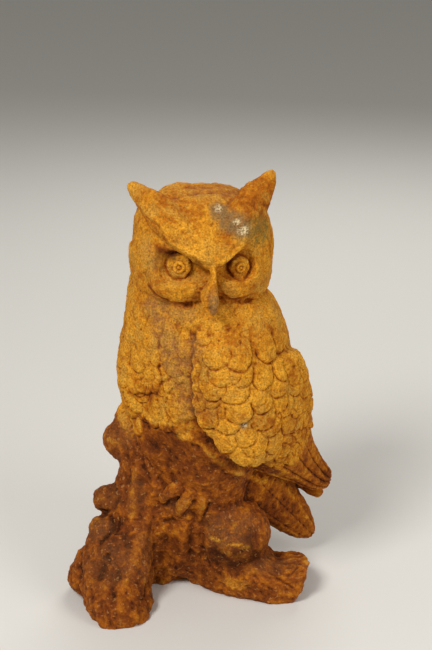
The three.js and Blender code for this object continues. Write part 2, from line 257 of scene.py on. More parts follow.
# Ledges where a wing stands proud: a path along its edge, rise, drop, reach of the drop, and scallops.
FRONT_EDGE = [[1, -58, 268], [-2, -58, 258], [-3, -59, 245], [-4, -58, 227], [-4, -59, 214], [-3, -58, 200],
              [-1, -58, 185]]
LOWER_EDGE = [[-2, -58, 192], [3, -61, 178], [12, -62, 169], [25, -63, 157], [36, -59, 148], [46, -51, 141],
              [56, -42, 133]]
FAR_EDGE = [[-63, -23, 199], [-52, -30, 200], [-43, -39, 203], [-36, -47, 214], [-36, -47, 229],
            [-36, -48, 246], [-39, -43, 263]]
LEDGES = [(FRONT_EDGE, 1.8, 2.4, 7, 7), (LOWER_EDGE, 2.6, 8.0, 16, 5), (FAR_EDGE, 1.0, 0.9, 7, 6)]
# Lines on the skin that both a crease and a streak of rust follow.
UNDER_RIGHT_DISC = [(14, -60, 300), (22, -47, 293), (30, -42, 290), (40, -40, 291), (50, -26, 291)]
UNDER_GROWTH = [(-83, -24, 78), (-80, -29, 72), (-81, -33, 64), (-87, -38, 59), (-93, -39, 57)]
ROOT_GROOVE = [
    (-29, -29, 78), (-29, -30, 62), (-33, -28, 44), (-38, -30, 30), (-44, -52, 24), (-48, -77, 14),
]
ROOT_SIDE = [(-70, -26, 80), (-76, -34, 56), (-84, -48, 40), (-90, -60, 26)]
# Creases: a path on the skin, its width and its depth. A depth below 0 is a rim or ridge.
CREASES = [
    # The brow's two rims
    ([(-49, -39, 373), (-42, -46, 365), (-31, -55, 359), (-25, -56, 348), (-19, -57, 342),
      (-12, -59, 338), (-2, -62, 334), (6, -63, 330), (11, -64, 327)], 2.4, -2),
    ([(15, -62, 326), (22, -57, 329), (31, -53, 336), (36, -50, 342), (40, -49, 350),
      (44, -45, 356)], 2.4, -1.8),
    # Under the facial discs
    ([(-43, -47, 304), (-31, -52, 293), (-16, -53, 289), (-4, -52, 289)], 2, 1.5),
    (UNDER_RIGHT_DISC, 2, 1.3),
    # Under the first growth
    (UNDER_GROWTH, 2.4, 3),
    # The fold under the beak
    ([(-40, -50, 300), (-34, -51, 294), (-28, -48, 285), (-21, -51, 278), (-14, -53, 270)], 3.2, 1.2),
    ([(-22, -50, 273), (-11, -55, 266), (-1, -58, 263), (11, -60, 264), (21, -58, 267),
      (30, -55, 271)], 2.6, 0.9),
    # Cracks in the broken root
    ([(61, -43, 30), (68, -46, 26), (77, -50, 20), (84, -47, 15)], 1.3, 2),
    ([(70, -46, 33), (81, -45, 28), (89, -36, 31)], 1.3, 1.8),
    ([(48, -46, 28), (55, -51, 21), (66, -52, 14)], 1.3, 1.4),
    # The stump and its front root
    (ROOT_GROOVE, 7, 5),
    ([(-58, -22, 124), (-60, -20, 106), (-60, -29, 89), (-60, -35, 77)], 4, -2.6),
    ([(-45, -26, 92), (-52, -38, 63), (-56, -47, 51), (-61, -57, 40), (-68, -68, 30), (-70, -80, 21),
      (-70, -91, 12)], 5.5, -4),
    (ROOT_SIDE, 5, 4),
    ([(-13, -30, 74), (-15, -31, 64), (-17, -30, 54), (-19, -27, 36)], 4, -2.6),
    # Round the growths
    ([(-93, -14, 74), (-84, -26, 75), (-82, -34, 66), (-88, -36, 58)], 2.2, 2.6),
    ([(-74, -10, 98), (-72, -16, 88), (-78, -20, 79), (-88, -14, 75)], 2.4, 2.2),
    # The seam of the beak
    ([(9, -69, 309), (8, -71, 303), (7, -72, 296)], 1.1, 1.3),
    # The front of the stump
    ([(-5, -33, 84), (-7, -31, 66), (-8, -30, 48), (-8, -27, 34)], 3.4, 2.4),
    ([(5, -35, 70), (6, -36, 60), (7, -37, 49), (9, -31, 30)], 3.6, -2.2),
    # The toes
    ([(-7, -34, 109), (-14, -35, 95), (-21, -31, 78)], 5.4, -2.5),
    ([(4, -35, 106), (1, -34, 91), (-1, -29, 71)], 4.4, -2),
    ([(-25, -31, 114), (-31, -31, 103), (-36, -28, 91)], 5, -1.7),
    # The gaps between the toes
    ([(-5, -34, 98), (-11, -35, 89), (-16, -31, 78)], 2, 2.4),
    ([(9, -33, 94), (5, -31, 84), (1, -29, 71)], 2, 2),
    ([(-21, -33, 103), (-27, -32, 95), (-32, -29, 87)], 2, 2),
    # The ridge under the wing
    ([(-14, -52, 166), (-4, -50, 162), (5, -49, 156), (14, -46, 145), (26, -41, 131), (36, -33, 122),
      (42, -21, 114), (52, -6, 103), (64, 2, 97)], 3.6, -2.6),
]
# Round dimples: a place on the skin, the radius and the depth.
DIMPLES = [
    ((-4, -60, 344), 2.4, 0.9), ((0, -62, 338), 2.2, 0.8), ((9, -63, 334), 2.4, 1.1),
    ((20, -60, 339), 2.2, 0.8), ((25, -57, 344), 2.4, 0.9), ((-11, -56, 352), 2.4, 0.6),
    ((36, -72, 187), 2, 2.6),
]

# ---- Patches: x, y, z, three radii and strength ----

PATCHES = {
    "worn": [
        (-33, -43, 282, 15, 14, 12, 1), (-14, -54, 281, 18, 12, 9, 0.7), (-33, -47, 262, 12, 12, 15, 1),
        (-23, -54, 250, 12, 14, 20, 1), (-14, -58, 238, 11, 12, 22, 0.9), (-14, -60, 208, 12, 12, 26, 0.7),
        (-3, -57, 250, 7, 10, 12, 1), (18, -62, 240, 12, 10, 12, 0.5), (30, -60, 214, 14, 10, 12, 0.5),
        (8, -66, 206, 10, 10, 14, 0.4), (8, -24, 372, 28, 20, 8, 0.35), (-40, -46, 326, 10, 12, 12, 0.7),
        (12, -70, 296, 5, 8, 12, 1), (26, -38, 72, 26, 22, 16, 0.8), (-86, -8, 88, 15, 18, 14, 0.55),
        (-92, -24, 62, 14, 16, 12, 0.9), (-74, -2, 146, 14, 14, 14, 0.6), (-78, -52, 44, 22, 34, 18, 0.6),
        (-50, -50, 48, 10, 20, 24, 0.5), (-60, -26, 96, 8, 14, 22, 0.5), (66, -34, 32, 26, 16, 8, 0.7),
        (-26, -36, 94, 16, 12, 14, 0.4),
    ],
    "bare": [
        (17, -44, 365, 10, 12, 9, 0.85), (27, -48, 359, 12, 12, 10, 0.85), (36, -50, 352, 9, 10, 8, 0.85),
        (39, -70, 187, 3, 8, 3, 1), (12, -72, 296, 4, 8, 7, 0.5),
    ],
    # Polished spots of metal: smoother and partly metallic, with a painted highlight in their pale colour.
    "polish_and_painted_highlight": [
        (16, -41, 368, 3.2, 8, 3.2, 1), (36, -51, 352, 4.2, 8, 4.2, 1), (31, -48, 359, 3, 8, 2.6, 0.8),
        (39, -70, 187, 2.5, 8, 2.5, 0.8),
    ],
    "olive": [
        (46, -42, 351, 10, 14, 11, 0.8), (54, -32, 343, 11, 18, 12, 0.9), (-42, -44, 316, 8, 10, 12, 0.3),
        (4, -64, 236, 6, 10, 10, 0.25),
    ],
    "bright": [
        (7, -59, 272, 19, 12, 7, 1), (29, -54, 281, 14, 12, 10, 0.7), (2, -62, 342, 18, 14, 14, 0.7),
        (-20, -56, 352, 18, 14, 12, 0.5), (-29, -47, 177, 6, 8, 5, 1), (-16, -51, 168, 7, 8, 6, 1),
        (-47, -34, 224, 8, 14, 14, 0.8), (-60, -16, 236, 10, 14, 18, 0.6), (20, -66, 181, 14, 12, 12, 0.9),
        (36, -64, 168, 14, 14, 11, 0.9), (14, -44, 62, 7, 7, 1.6, 1), (30, -48, 60, 7, 7, 1.6, 1),
        (40, -48, 56, 5, 7, 2.4, 1), (30, -44, 18, 14, 14, 5, 0.5),
    ],
    # Painted shade under the burl, the wing and the brows, in the sockets and on the stump's shaded sides,
    # with some darker crust.
    "crust_and_painted_shade": [
        (30, -46, 46, 29, 20, 14, 1), (44, -44, 66, 8, 10, 7, 0.5), (-88, -14, 84, 14, 18, 15, 0.3),
        (34, -34, 136, 36, 22, 8, 0.5), (-36, -30, 36, 12, 22, 30, 0.3), (-44, -62, 18, 12, 30, 16, 0.3),
        (-4, -24, 24, 18, 20, 12, 0.3), (-3, -55, 325, 7, 12, 7, 0.6), (-26, -48, 331, 11, 12, 5, 0.7),
        (-33, -46, 326, 4, 12, 9, 0.45), (24, -50, 325, 5, 12, 7, 0.7),
    ],
}
# Places with a texture of their own: the growths in view and the toes, which are smoothed less, the rough
# breast and the calm fold under the beak.
GROWTHS_SEEN = [(-92, -12, 84, 14, 16, 16, 1), (-94, -22, 60, 12, 14, 14, 1)]
TOE_PLACE = [(-12, -36, 92, 28, 14, 26, 1)]
BREAST_PLACE = [(-16, -56, 222, 24, 24, 50, 1)]
CALM_PLACE = [(8, -56, 272, 30, 16, 14, 1)]
# Streaks along the skin: a path, the width, and how much darker (or lighter, below 0) the colour is there.
# Painted shade and painted light among them are marked.
STREAKS = [
    # The flank and the ridges under the wing
    ([(-63, -19, 196), (-56, -24, 182), (-47, -30, 176), (-37, -38, 176), (-28, -45, 177)], 3.8, -0.4),
    ([(-62, -18, 188), (-57, -20, 174), (-53, -20, 160), (-49, -24, 147)], 3.6, -0.3),
    ([(-14, -52, 166), (4, -50, 156), (14, -47, 145), (26, -41, 131), (36, -33, 122), (42, -21, 114),
      (52, -6, 103)], 4.2, -0.15),
    ([(42, -21, 114), (52, -6, 103), (64, 2, 97), (73, 10, 92), (83, 21, 78), (93, 30, 60)], 5.5, -0.15),
    # The tail
    ([(78, 20, 86), (88, 28, 68), (98, 34, 46), (104, 37, 34)], 3, -0.12),
    # The brow's rims
    ([(-49, -39, 373), (-31, -55, 359), (-19, -57, 342), (-2, -62, 334), (11, -64, 327)], 2.6, -0.1),
    ([(15, -62, 326), (31, -53, 336), (40, -49, 350)], 2.6, -0.1),
    # The front root and the foot
    ([(-58, -22, 124), (-60, -20, 106), (-60, -29, 89), (-60, -35, 77), (-58, -47, 55), (-64, -62, 36),
      (-70, -82, 20)], 4, -0.12),
    ([(-92, -66, 20), (-82, -82, 15), (-68, -92, 10), (-56, -85, 10)], 8, 0.04),
    ([(8, -30, 10), (22, -38, 14), (42, -48, 10), (64, -53, 9), (80, -50, 10)], 5, -0.1),
    # Under the growths
    ([(-86, 0, 144), (-78, -4, 138), (-70, -8, 134)], 3, -0.2),
    # Shade under the far wing and on the flank
    ([(-43, -42, 218), (-41, -44, 210), (-43, -37, 198), (-38, -41, 187)], 8, 0.16),
    ([(-52, -22, 172), (-45, -28, 168), (-26, -45, 168), (-14, -49, 163)], 9, 0.3),
    ([(-57, -23, 184), (-54, -20, 164), (-45, -26, 152), (-36, -36, 148)], 9, 0.24),
    # Painted shade under the discs and the first growth, and in the left socket
    ([(-44, -46, 306), (-41, -49, 301), (-31, -52, 293), (-16, -53, 289), (-4, -52, 289)], 3, 0.36),
    (UNDER_RIGHT_DISC, 3, 0.32),
    (UNDER_GROWTH, 2.6, 0.2),
    ([(-37, -44, 336), (-32, -48, 335), (-26, -50, 334), (-17, -50, 331)], 2.6, 0.42),
    # Painted light on the front of the stump, and painted shade in the gaps between the toes
    ([(-10, -33, 104), (-6, -31, 76), (0, -28, 48)], 15, -0.1),
    ([(-3, -34, 100), (-11, -35, 89), (-17, -31, 77)], 2.6, 0.2),
    ([(10, -33, 96), (5, -31, 84), (0, -29, 70)], 2.4, 0.16),
    ([(-20, -33, 105), (-27, -32, 95), (-33, -29, 86)], 2.4, 0.16),
    # Painted shade along the root's sides, and painted light in its groove
    ([(-58, -30, 70), (-74, -44, 50), (-84, -64, 26)], 12, 0.08),
    (ROOT_SIDE, 5, 0.16),
    (ROOT_GROOVE, 8, -0.12),
]

# Sizes of what weather leaves on the skin, in millimetres. Real rust powder is finer than 0.1 mm, real
# flakes are 1 to 2 mm wide, and real pits are about 1 mm. All are drawn coarser, or they would not show in
# a view of the whole figure.
GRIT, SCALE_FLAKE, STAIN, RUST_PIT = 1.6, 5.5, 14.0, 2.6
# Sizes of the casting's own roughness, in millimetres, as relief.
LUMP, RIPPLE, CRUST, PIT, GRAIN = 15.0, 8.0, 4.2, 3.4, 2.4
# Each noise has a number, and is moved by that many times this many of its cells.
SEED_GAP = 20.0
# How far from a form, and from a line on the skin, a point still counts, and what stands for further off.
FORM_REACH, OFF_FORM, LINE_REACH, FAR_OFF = 14.0, 9.0, 34.0, 99.0
# Where the body meets the stump, over the ground.
WOOD_TOP = 158.0
# Rounds of smoothing: of the joined skin, and of the skins that cavities and crests are measured from.
SMOOTHING_ROUNDS, WIDE_ROUNDS, CLOSE_ROUNDS = 44, 14, 3
# How far below the ground the forms reach before they are cut off there, in millimetres.
DEEPEST = -6.0
# A piece with more triangles than this would be thinned in its STL file. Above this the
# build stops with an error.
MOST_TRIANGLES = 200000

# ---- The rust's patterns ----

# Clouds of noise: size in millimetres, detail and roughness.
PATTERNS = {
    "grit": (GRIT, 3, 0.6),
    "flakes": (SCALE_FLAKE, 4, 0.7),
    "stains": (STAIN, 4, 0.6),
    "dust_cloud": (1.4 * STAIN, 2, 0.6),
    "red_grains": (1.3 * GRIT, 1, 0.6),
    "glint_grains": (2 * GRIT, 1, 0.6),
}
# Soft steps of a cloud or a mark: its name, the two values it rises between, and the two it gives.
STEPS = {
    "flaking": ("flakes", 0.3, 0.7, -0.13, 0.13),
    "staining": ("stains", 0.3, 0.7, -0.1, 0.1),
    "gritting": ("grit", 0.3, 0.7, -0.05, 0.05),
    # Darker in hollows: darker crust there, and painted shade.
    "hollow": ("relief", 0.48, 0.05, 0.0, 0.36),
    # Lighter on crests: powdery rust there, and a painted highlight.
    "crest": ("relief", 0.56, 0.95, 0.0, -0.16),
    "less_on_wood": ("wood", 0.2, 0.9, 1.0, 0.6),
    "worn": ("flakes", 0.34, 0.6, 0.3, 0.9),
    "dust": ("dust_cloud", 0.46, 0.64, 0.0, 0.5),
    "bright": ("flakes", 0.66, 0.4, 0.1, 0.8),
    # Painted shade, with some darker crust, broken up by the stains.
    "crust_and_painted_shade": ("stains", 0.3, 0.62, 0.45, 1.0),
    "olive": ("flakes", 0.36, 0.62, 0.3, 1.0),
    "bare": ("flakes", 0.3, 0.6, 0.5, 1.0),
    # Painted highlight and polish, broken up by the grit.
    "polish_and_painted_highlight": ("grit", 0.36, 0.56, 0.0, 1.0),
    "speck": ("grit", 0.3, 0.7, 0.66, 1.3),
    "red_speck": ("red_grains", 0.6, 0.7, 0.0, 0.5),
    "glint": ("glint_grains", 0.64, 0.72, 0.0, 1.0),
    "glint_on_wood": ("wood", 0.2, 0.9, 0.05, 0.45),
    "roughness": ("wood", 0.0, 1.0, 0.9, 0.7),
}

# ---- The stage, in metres ----

FLOOR_REACH, FLOOR_DROP = 12.0, 0.0004
ROOM_LIGHT, ROOM_STRENGTH = "#f1efea", 0.3
# Each soft lamp's name, place and width. The first is the main one.
LAMPS = [
    ("key_softbox", (-0.8, -1.15, 1.6), 0.7),
    ("fill_softbox", (1.3, -0.9, 0.9), 1.1),
    ("back_softbox", (0.3, 1.3, 1.3), 1.1),
]
LAMP_AIM = (0, 0, 0.2)
CAMERA_PLACE, CAMERA_TILT, SENSOR = (0.01102, -1.11856, 0.6586), 70.0, 36.0


def linear(colour):
    """An sRGB hex value as linear red, green, blue and alpha: below 0.04045 it is a twelfth of the value
    (by 12.92), and above it is ((value + 0.055) / 1.055) to the power 2.4."""
    part = np.array([int(colour[i : i + 2], 16) for i in (1, 3, 5)]) / 255
    part = np.where(part <= 0.04045, part / 12.92, ((part + 0.055) / 1.055) ** 2.4)
    return (*part.tolist(), 1.0)


def smooth_step(low, high, value):
    """0 below low, 1 above high, and 3 s^2 - 2 s^3 of the share s between them. low may be the larger."""
    share = np.clip((value - low) / (high - low), 0, 1)
    return share * share * (3 - 2 * share)


def turned(points, degrees):
    """Points turned about the vertical: x cos a - y sin a, x sin a + y cos a."""
    angle = np.radians(degrees)
    x, y, z = np.moveaxis(points, -1, 0)
    return np.stack([x * np.cos(angle) - y * np.sin(angle), x * np.sin(angle) + y * np.cos(angle), z], -1)


# ---- Surfaces of two parameters ----


def line_at(rows, share):
    """A smooth line through the rows. Between two rows it is the cubic whose slope at each row is half
    the step from the row before to the row after. Returns its points and its slopes at the shares."""
    rows = np.asarray(rows, float)
    rows = np.vstack([2 * rows[0] - rows[1], rows, 2 * rows[-1] - rows[-2]])
    spans = len(rows) - 3
    place = np.clip(share, 0, 1) * spans
    i = np.minimum(place.astype(int), spans - 1)
    w = (place - i)[..., None]
    before, start, end, after = rows[i], rows[i + 1], rows[i + 2], rows[i + 3]
    first, second = (end - before) / 2, (after - start) / 2
    square = 3 * (end - start) - 2 * first - second
    cube = 2 * (start - end) + first + second
    return start + w * (first + w * (square + w * cube)), first + w * (2 * square + 3 * w * cube)


def unit(vectors):
    """Vectors divided by their lengths."""
    return vectors / np.maximum(np.linalg.norm(vectors, axis=-1, keepdims=True), 1e-9)


def form_frame(form, share):
    """Centre, side, out and along of a form at shares of its length, and its half width and depth. out is
    the facing direction made square to the line, side is out x along, and both half sizes are closed
    towards the ends by (1 - |2 t - 1|^f)^(1/f)."""
    points, slopes = line_at(form["rows"], share)
    along = unit(slopes[..., :3])
    facing = np.radians(points[..., 5])
    out = np.stack([np.sin(facing), -np.cos(facing), np.zeros_like(facing)], -1)
    out = unit(out - along * (out * along).sum(-1, keepdims=True))
    side = np.cross(out, along)
    fullness = form["fullness"]
    closing = np.maximum(0, 1 - np.abs(2 * share - 1) ** fullness) ** (1 / fullness)
    return points[..., :3], side, out, along, points[..., 3] * closing, points[..., 4] * closing


def form_skin(form, share, degrees):
    """The skin of a form: centre + side * width * c + out * depth * s, where c and s are the cosine and
    sine of the angle, each raised to the power 2 / boxiness with its sign kept."""
    centre, side, out, _, width, depth = form_frame(form, share)
    angle = np.radians(degrees)
    power = 2 / form["boxiness"]
    c, s = np.cos(angle), np.sin(angle)
    c = np.sign(c) * np.abs(c) ** power
    s = np.sign(s) * np.abs(s) ** power
    return centre + side * (width * c)[..., None] + out * (depth * s)[..., None]


def pole_grid(along, around):
    """Two grids, from pole to pole and round: shares (1 - cos(pi i)) / 2, close together at the poles, and
    angles in degrees."""
    share = (1 - np.cos(np.pi * np.linspace(0, 1, along + 1))) / 2
    degrees = np.arange(around) * 360 / around
    return np.meshgrid(share, degrees, indexing="ij")


def form_grid(form, along=110, around=150):
    """The whole skin of a form, from pole to pole and round."""
    return form_skin(form, *pole_grid(along, around))


def ball_grid(centre, radii, along=60, around=90):
    """An ellipsoid: centre + radii * (sin p cos a, sin p sin a, cos p)."""
    share, degrees = pole_grid(along, around)
    polar, angle = np.arccos(1 - 2 * share), np.radians(degrees)
    ball = np.stack([np.sin(polar) * np.cos(angle), np.sin(polar) * np.sin(angle), np.cos(polar)], -1)
    return np.array(centre) + ball * np.array(radii)


def toe_grid(path, radius, along=40, around=40):
    """A finger round a line through three points: a circle square to the line whose radius closes at both
    ends by (1 - |2 t - 1|^4)^(1/4)."""
    return form_skin(lofted(4, 2, *((*point, radius, radius) for point in path)), *pole_grid(along, around))


def eye_grid(centre, turn, size, around=72):
    """The eye's profile turned about an axis that points to the front: (r cos a, -height, r sin a)."""
    profile = np.array(EYE_PROFILE) * [size, 1]
    angle = np.radians(np.arange(around) * 360 / around)
    radius, height = profile[:, :1], profile[:, 1:]
    ones = np.ones_like(angle)
    points = np.stack([radius * np.cos(angle), -height * ones, radius * np.sin(angle)], -1)
    return turned(points, turn) + np.array(centre)


def closed_skin(points):
    """A grid as vertices and triangles. Its columns close on themselves, and its first and last rows are
    poles, each of which becomes one vertex."""
    rows, columns = points.shape[:2]
    vertices = np.vstack([points[0, :1], points[1:-1].reshape(-1, 3), points[-1, :1]])
    index = 1 + np.arange((rows - 2) * columns).reshape(rows - 2, columns)
    ahead = np.roll(index, -1, axis=1)
    a, b, c, d = index[:-1].ravel(), ahead[:-1].ravel(), ahead[1:].ravel(), index[1:].ravel()
    first, last = np.zeros(columns, int), np.full(columns, len(vertices) - 1)
    corners = [(a, b, c), (a, c, d), (first, ahead[0], index[0]), (last, index[-1], ahead[-1])]
    return vertices, np.vstack([np.stack(corner, -1) for corner in corners])


def joined(skins):
    """Some skins as one: their vertices after each other, and their triangles moved on by that much."""
    vertices = np.vstack([skin[0] for skin in skins])
    starts = np.cumsum([0] + [len(skin[0]) for skin in skins[:-1]])
    return vertices, np.vstack([skin[1] + start for skin, start in zip(skins, starts)])


# ---- Noise ----

CORNERS = [(i, j, k) for i in (0, 1) for j in (0, 1) for k in (0, 1)]
# Numbers that mix the corners' whole numbers well, and a turn that keeps the cubes off the scene's axes.
PRIMES = (73856093, 19349663, 83492791)
HASH = np.array([2246822519, 3266489917], np.uint32)
TILT = np.array([[0.8, 0.0, 0.6], [0.36, 0.8, -0.48], [-0.48, 0.6, 0.64]])


def noise(points, size, seed):
    """Value noise from -1 to 1: a random value at each corner of cubes of that size, blended by
    3 s^2 - 2 s^3 along each axis. The random value is a hash of the corner's three whole numbers."""
    place = points @ TILT.T / size + seed * SEED_GAP
    cell = np.floor(place)
    share = (place - cell).T
    share = share * share * (3 - 2 * share)
    whole = cell.astype(np.int64).T
    keys = [
        [((part + step) * prime).astype(np.uint32) for step in (0, 1)]
        for part, prime in zip(whole, PRIMES)
    ]
    shares = [(1 - part, part) for part in share]
    value = np.zeros(len(points))
    for i, j, k in CORNERS:
        key = keys[0][i] ^ keys[1][j] ^ keys[2][k]
        key = (key ^ (key >> 15)) * HASH[0]
        key = (key ^ (key >> 13)) * HASH[1]
        value += shares[0][i] * shares[1][j] * shares[2][k] * ((key >> 16) / 32767.5 - 1)
    return value


def rough(points, size, seed, octaves=3):
    """Noise summed over octaves, each half the size and half the height of the last."""
    return sum(noise(points, size / 2**i, seed + i) / 2**i for i in range(octaves))


def warped(points, size, reach, seed):
    """Points moved by up to reach by three noises of that size."""
    moves = np.stack([noise(points, size, seed + axis * 7) for axis in range(3)], -1)
    return points + reach * moves


def patches(points, spots, moves=0.0):
    """The strongest of some soft ellipsoids: 1 inside 0.6 of the radii, 0 outside 1.4 of them. Moves make
    their outlines uneven, and count less for an ellipsoid whose least radius is under 12 mm."""
    found = np.zeros(len(points))
    for x, y, z, *radii, strength in spots:
        place = points + moves * min(1, min(radii) / 12)
        distance = np.linalg.norm((place - np.array([x, y, z])) / np.array(radii), axis=1)
        found = np.maximum(found, strength * smooth_step(1.4, 0.6, distance))
    return found


def hump(distance, width):
    """The section of a soft ridge or groove: exp(-(distance / width)^2)."""
    return np.exp(-((distance / width) ** 2))


def faded(along, share):
    """1 along a line, and falling to 0 over that share of it at both ends."""
    return smooth_step(0, share, along) * smooth_step(1, 1 - share, along)


# ---- Making and smoothing the skin ----


def mesh_of(name, vertices, triangles):
    """A new mesh from arrays of vertices, in metres, and triangles."""
    mesh = bpy.data.meshes.new(name)
    mesh.vertices.add(len(vertices))
    mesh.vertices.foreach_set("co", np.asarray(vertices, np.float32).ravel())
    mesh.loops.add(triangles.size)
    mesh.loops.foreach_set("vertex_index", np.asarray(triangles, np.int32).ravel())
    mesh.polygons.add(len(triangles))
    mesh.polygons.foreach_set("loop_start", np.arange(0, triangles.size, 3, dtype=np.int32))
    mesh.update(calc_edges=True)
    mesh.validate()
    return mesh


def read(mesh, what):
    """A mesh's vertices, vertex normals or edges as one array."""
    items, field, width, kind = {
        "points": (mesh.vertices, "co", 3, np.float32),
        "normals": (mesh.vertices, "normal", 3, np.float32),
        "edges": (mesh.edges, "vertices", 2, np.int32),
    }[what]
    values = np.empty(len(items) * width, kind)
    items.foreach_get(field, values)
    return values.reshape(-1, width).astype(float if kind is np.float32 else int)


def write_points(mesh, points):
    """Puts points, in the tables' frame, into a mesh."""
    mesh.vertices.foreach_set("co", np.asarray((points - MIDDLE) * MM, np.float32).ravel())
    mesh.update()


def neighbour_mean(values, edges):
    """The mean of each vertex's neighbours along the edges."""
    (a, b), size = edges.T, len(values)
    count = np.bincount(a, minlength=size) + np.bincount(b, minlength=size)
    total = [np.bincount(a, column[b], size) + np.bincount(b, column[a], size) for column in values.T]
    return np.stack(total, -1) / np.maximum(count, 1)[:, None]


def smoothed(points, edges, level, rounds):
    """Each round moves a vertex 0.6 of the way to its neighbours' mean, while the round is below its level
    (0 to 1) times the number of rounds."""
    for step in range(rounds):
        pull = 0.6 * np.clip(level * rounds - step, 0, 1)[:, None]
        points = points + pull * (neighbour_mean(points, edges) - points)
    return points


def with_modifier(mesh, kind, settings, free=()):
    """The mesh as one modifier leaves it. The vertices in free are in the vertex group "free"."""
    piece = bpy.data.objects.new("working", mesh)
    bpy.context.scene.collection.objects.link(piece)
    if len(free):
        piece.vertex_groups.new(name="free").add(free.tolist(), 1.0, "REPLACE")
    modifier = piece.modifiers.new(kind, kind)
    for name, value in settings.items():
        setattr(modifier, name, value)
    graph = bpy.context.evaluated_depsgraph_get()
    made = bpy.data.meshes.new_from_object(piece.evaluated_get(graph))
    bpy.data.objects.remove(piece)
    bpy.data.meshes.remove(mesh)
    return made


def carved(points, hollows):
    """Points inside a hollow are moved back along y onto its floor: y = centre + depth * (1 - r^flatness -
    rise * z^2 below its middle), with r = (|x|^boxiness + |z|^boxiness)^(1 / boxiness) of x and z as shares
    of its radii."""
    points = points.copy()
    for centre, radii, turn, boxiness, flatness, rise in hollows:
        local = turned(points - np.array(centre), -turn) / radii
        ring = np.abs(local[..., 0]) ** boxiness + np.abs(local[..., 2]) ** boxiness
        floor = 1 - ring ** (flatness / boxiness) - rise * np.minimum(local[..., 2], 0) ** 2
        inside = (ring < 1) & (local[..., 1] < floor) & (local[..., 1] > -2)
        local[..., 1] = np.where(inside, floor, local[..., 1])
        points = np.where(inside[..., None], turned(local * radii, turn) + np.array(centre), points)
    return points


def head_skins():
    """The head's forms, turned together about the vertical and set on the head's middle."""
    plain = [carved(form_grid(HEAD, 240, 300), SOCKETS), ball_grid(*CROWN)]
    plain += [
        carved(turned(ball_grid([0, 0, 0], radii, 120, 160), turn) + np.array(centre), SOCKETS)
        for centre, radii, turn in CHEEKS
    ]
    plain += [eye_grid(*eye) for eye in EYES]
    plain += [form_grid(form) for form in (FOREHEAD, RIGHT_BROW, LEFT_BROW, BRIDGE, HOOK, BIB)]
    return [closed_skin(turned(points, HEAD_TURN) + HEAD_CENTRE) for points in plain]


def body_skins():
    """The body, the wings, the tail and the toes."""
    grids = [form_grid(form) for form in (BODY, BELLY, FLANK, NEAR_WING, FAR_WING, TAIL)]
    grids += [toe_grid(path, radius) for path, radius in TOES]
    return [closed_skin(points) for points in grids]


def stump_skins():
    """The stump's forms. The right root's points past its broken end are moved back onto that plane."""
    root = form_grid(RIGHT_ROOT)
    past = root[..., 0] - ROOT_END_X - root[..., 2] * np.tan(np.radians(ROOT_END_LEAN))
    root[..., 0] -= np.maximum(past, 0)
    grids = [form_grid(form) for form in (STUMP, FRONT_ROOT, LEFT_SPUR, BACK_ROOT)]
    grids += [root] + [ball_grid(centre, radii) for centre, radii in (BURL, *GROWTHS)]
    return [closed_skin(points) for points in grids]


# ---- Where on a form a point lies ----


def form_place(form, points, stations=60):
    """For each point near a form: the share along the form of the nearest of its stations, the angle round
    it in degrees, the ratio of its distance from the line to the skin's, and the local side, out and along.
    A point further than FORM_REACH outside the form's box gets the ratio OFF_FORM."""
    share = (np.arange(stations) + 0.5) / stations
    centre, side, out, along, width, depth = form_frame(form, share)
    length = np.linalg.norm(np.diff(centre, axis=0), axis=1).sum()
    skin = form_skin(form, *pole_grid(16, 20)).reshape(-1, 3)
    found = np.tile([0.0, 0.0, OFF_FORM, 0.0, 0.0, 0.0], (len(points), 1))
    low, high = skin.min(0) - FORM_REACH, skin.max(0) + FORM_REACH
    close = np.nonzero(((points > low) & (points < high)).all(1))[0]
    points = points[close]
    power = form["boxiness"]
    best = np.full(len(points), np.inf)
    rows = [np.zeros(len(points)) for _ in range(5)]
    for i in range(stations):
        offset = points - centre[i]
        s, o, a = offset @ side[i], offset @ out[i], offset @ along[i]
        ratio = (np.abs(s / width[i]) ** power + np.abs(o / depth[i]) ** power) ** (1 / power)
        cost = np.abs(a) * stations / length + 3 * np.maximum(ratio - 1.2, 0)
        nearer = cost < best
        best[nearer] = cost[nearer]
        for row, value in zip(rows, (s / width[i], o / depth[i], ratio, s, o)):
            row[nearer] = value[nearer]
        found[close[nearer], 0] = share[i] + a[nearer] / length
    found[close, 1] = np.degrees(np.arctan2(rows[1], rows[0])) % 360
    found[close, 2:5] = np.stack(rows[2:], -1)
    found[close, 5] = found[close, 0] * length
    return found


# ---- Relief ----


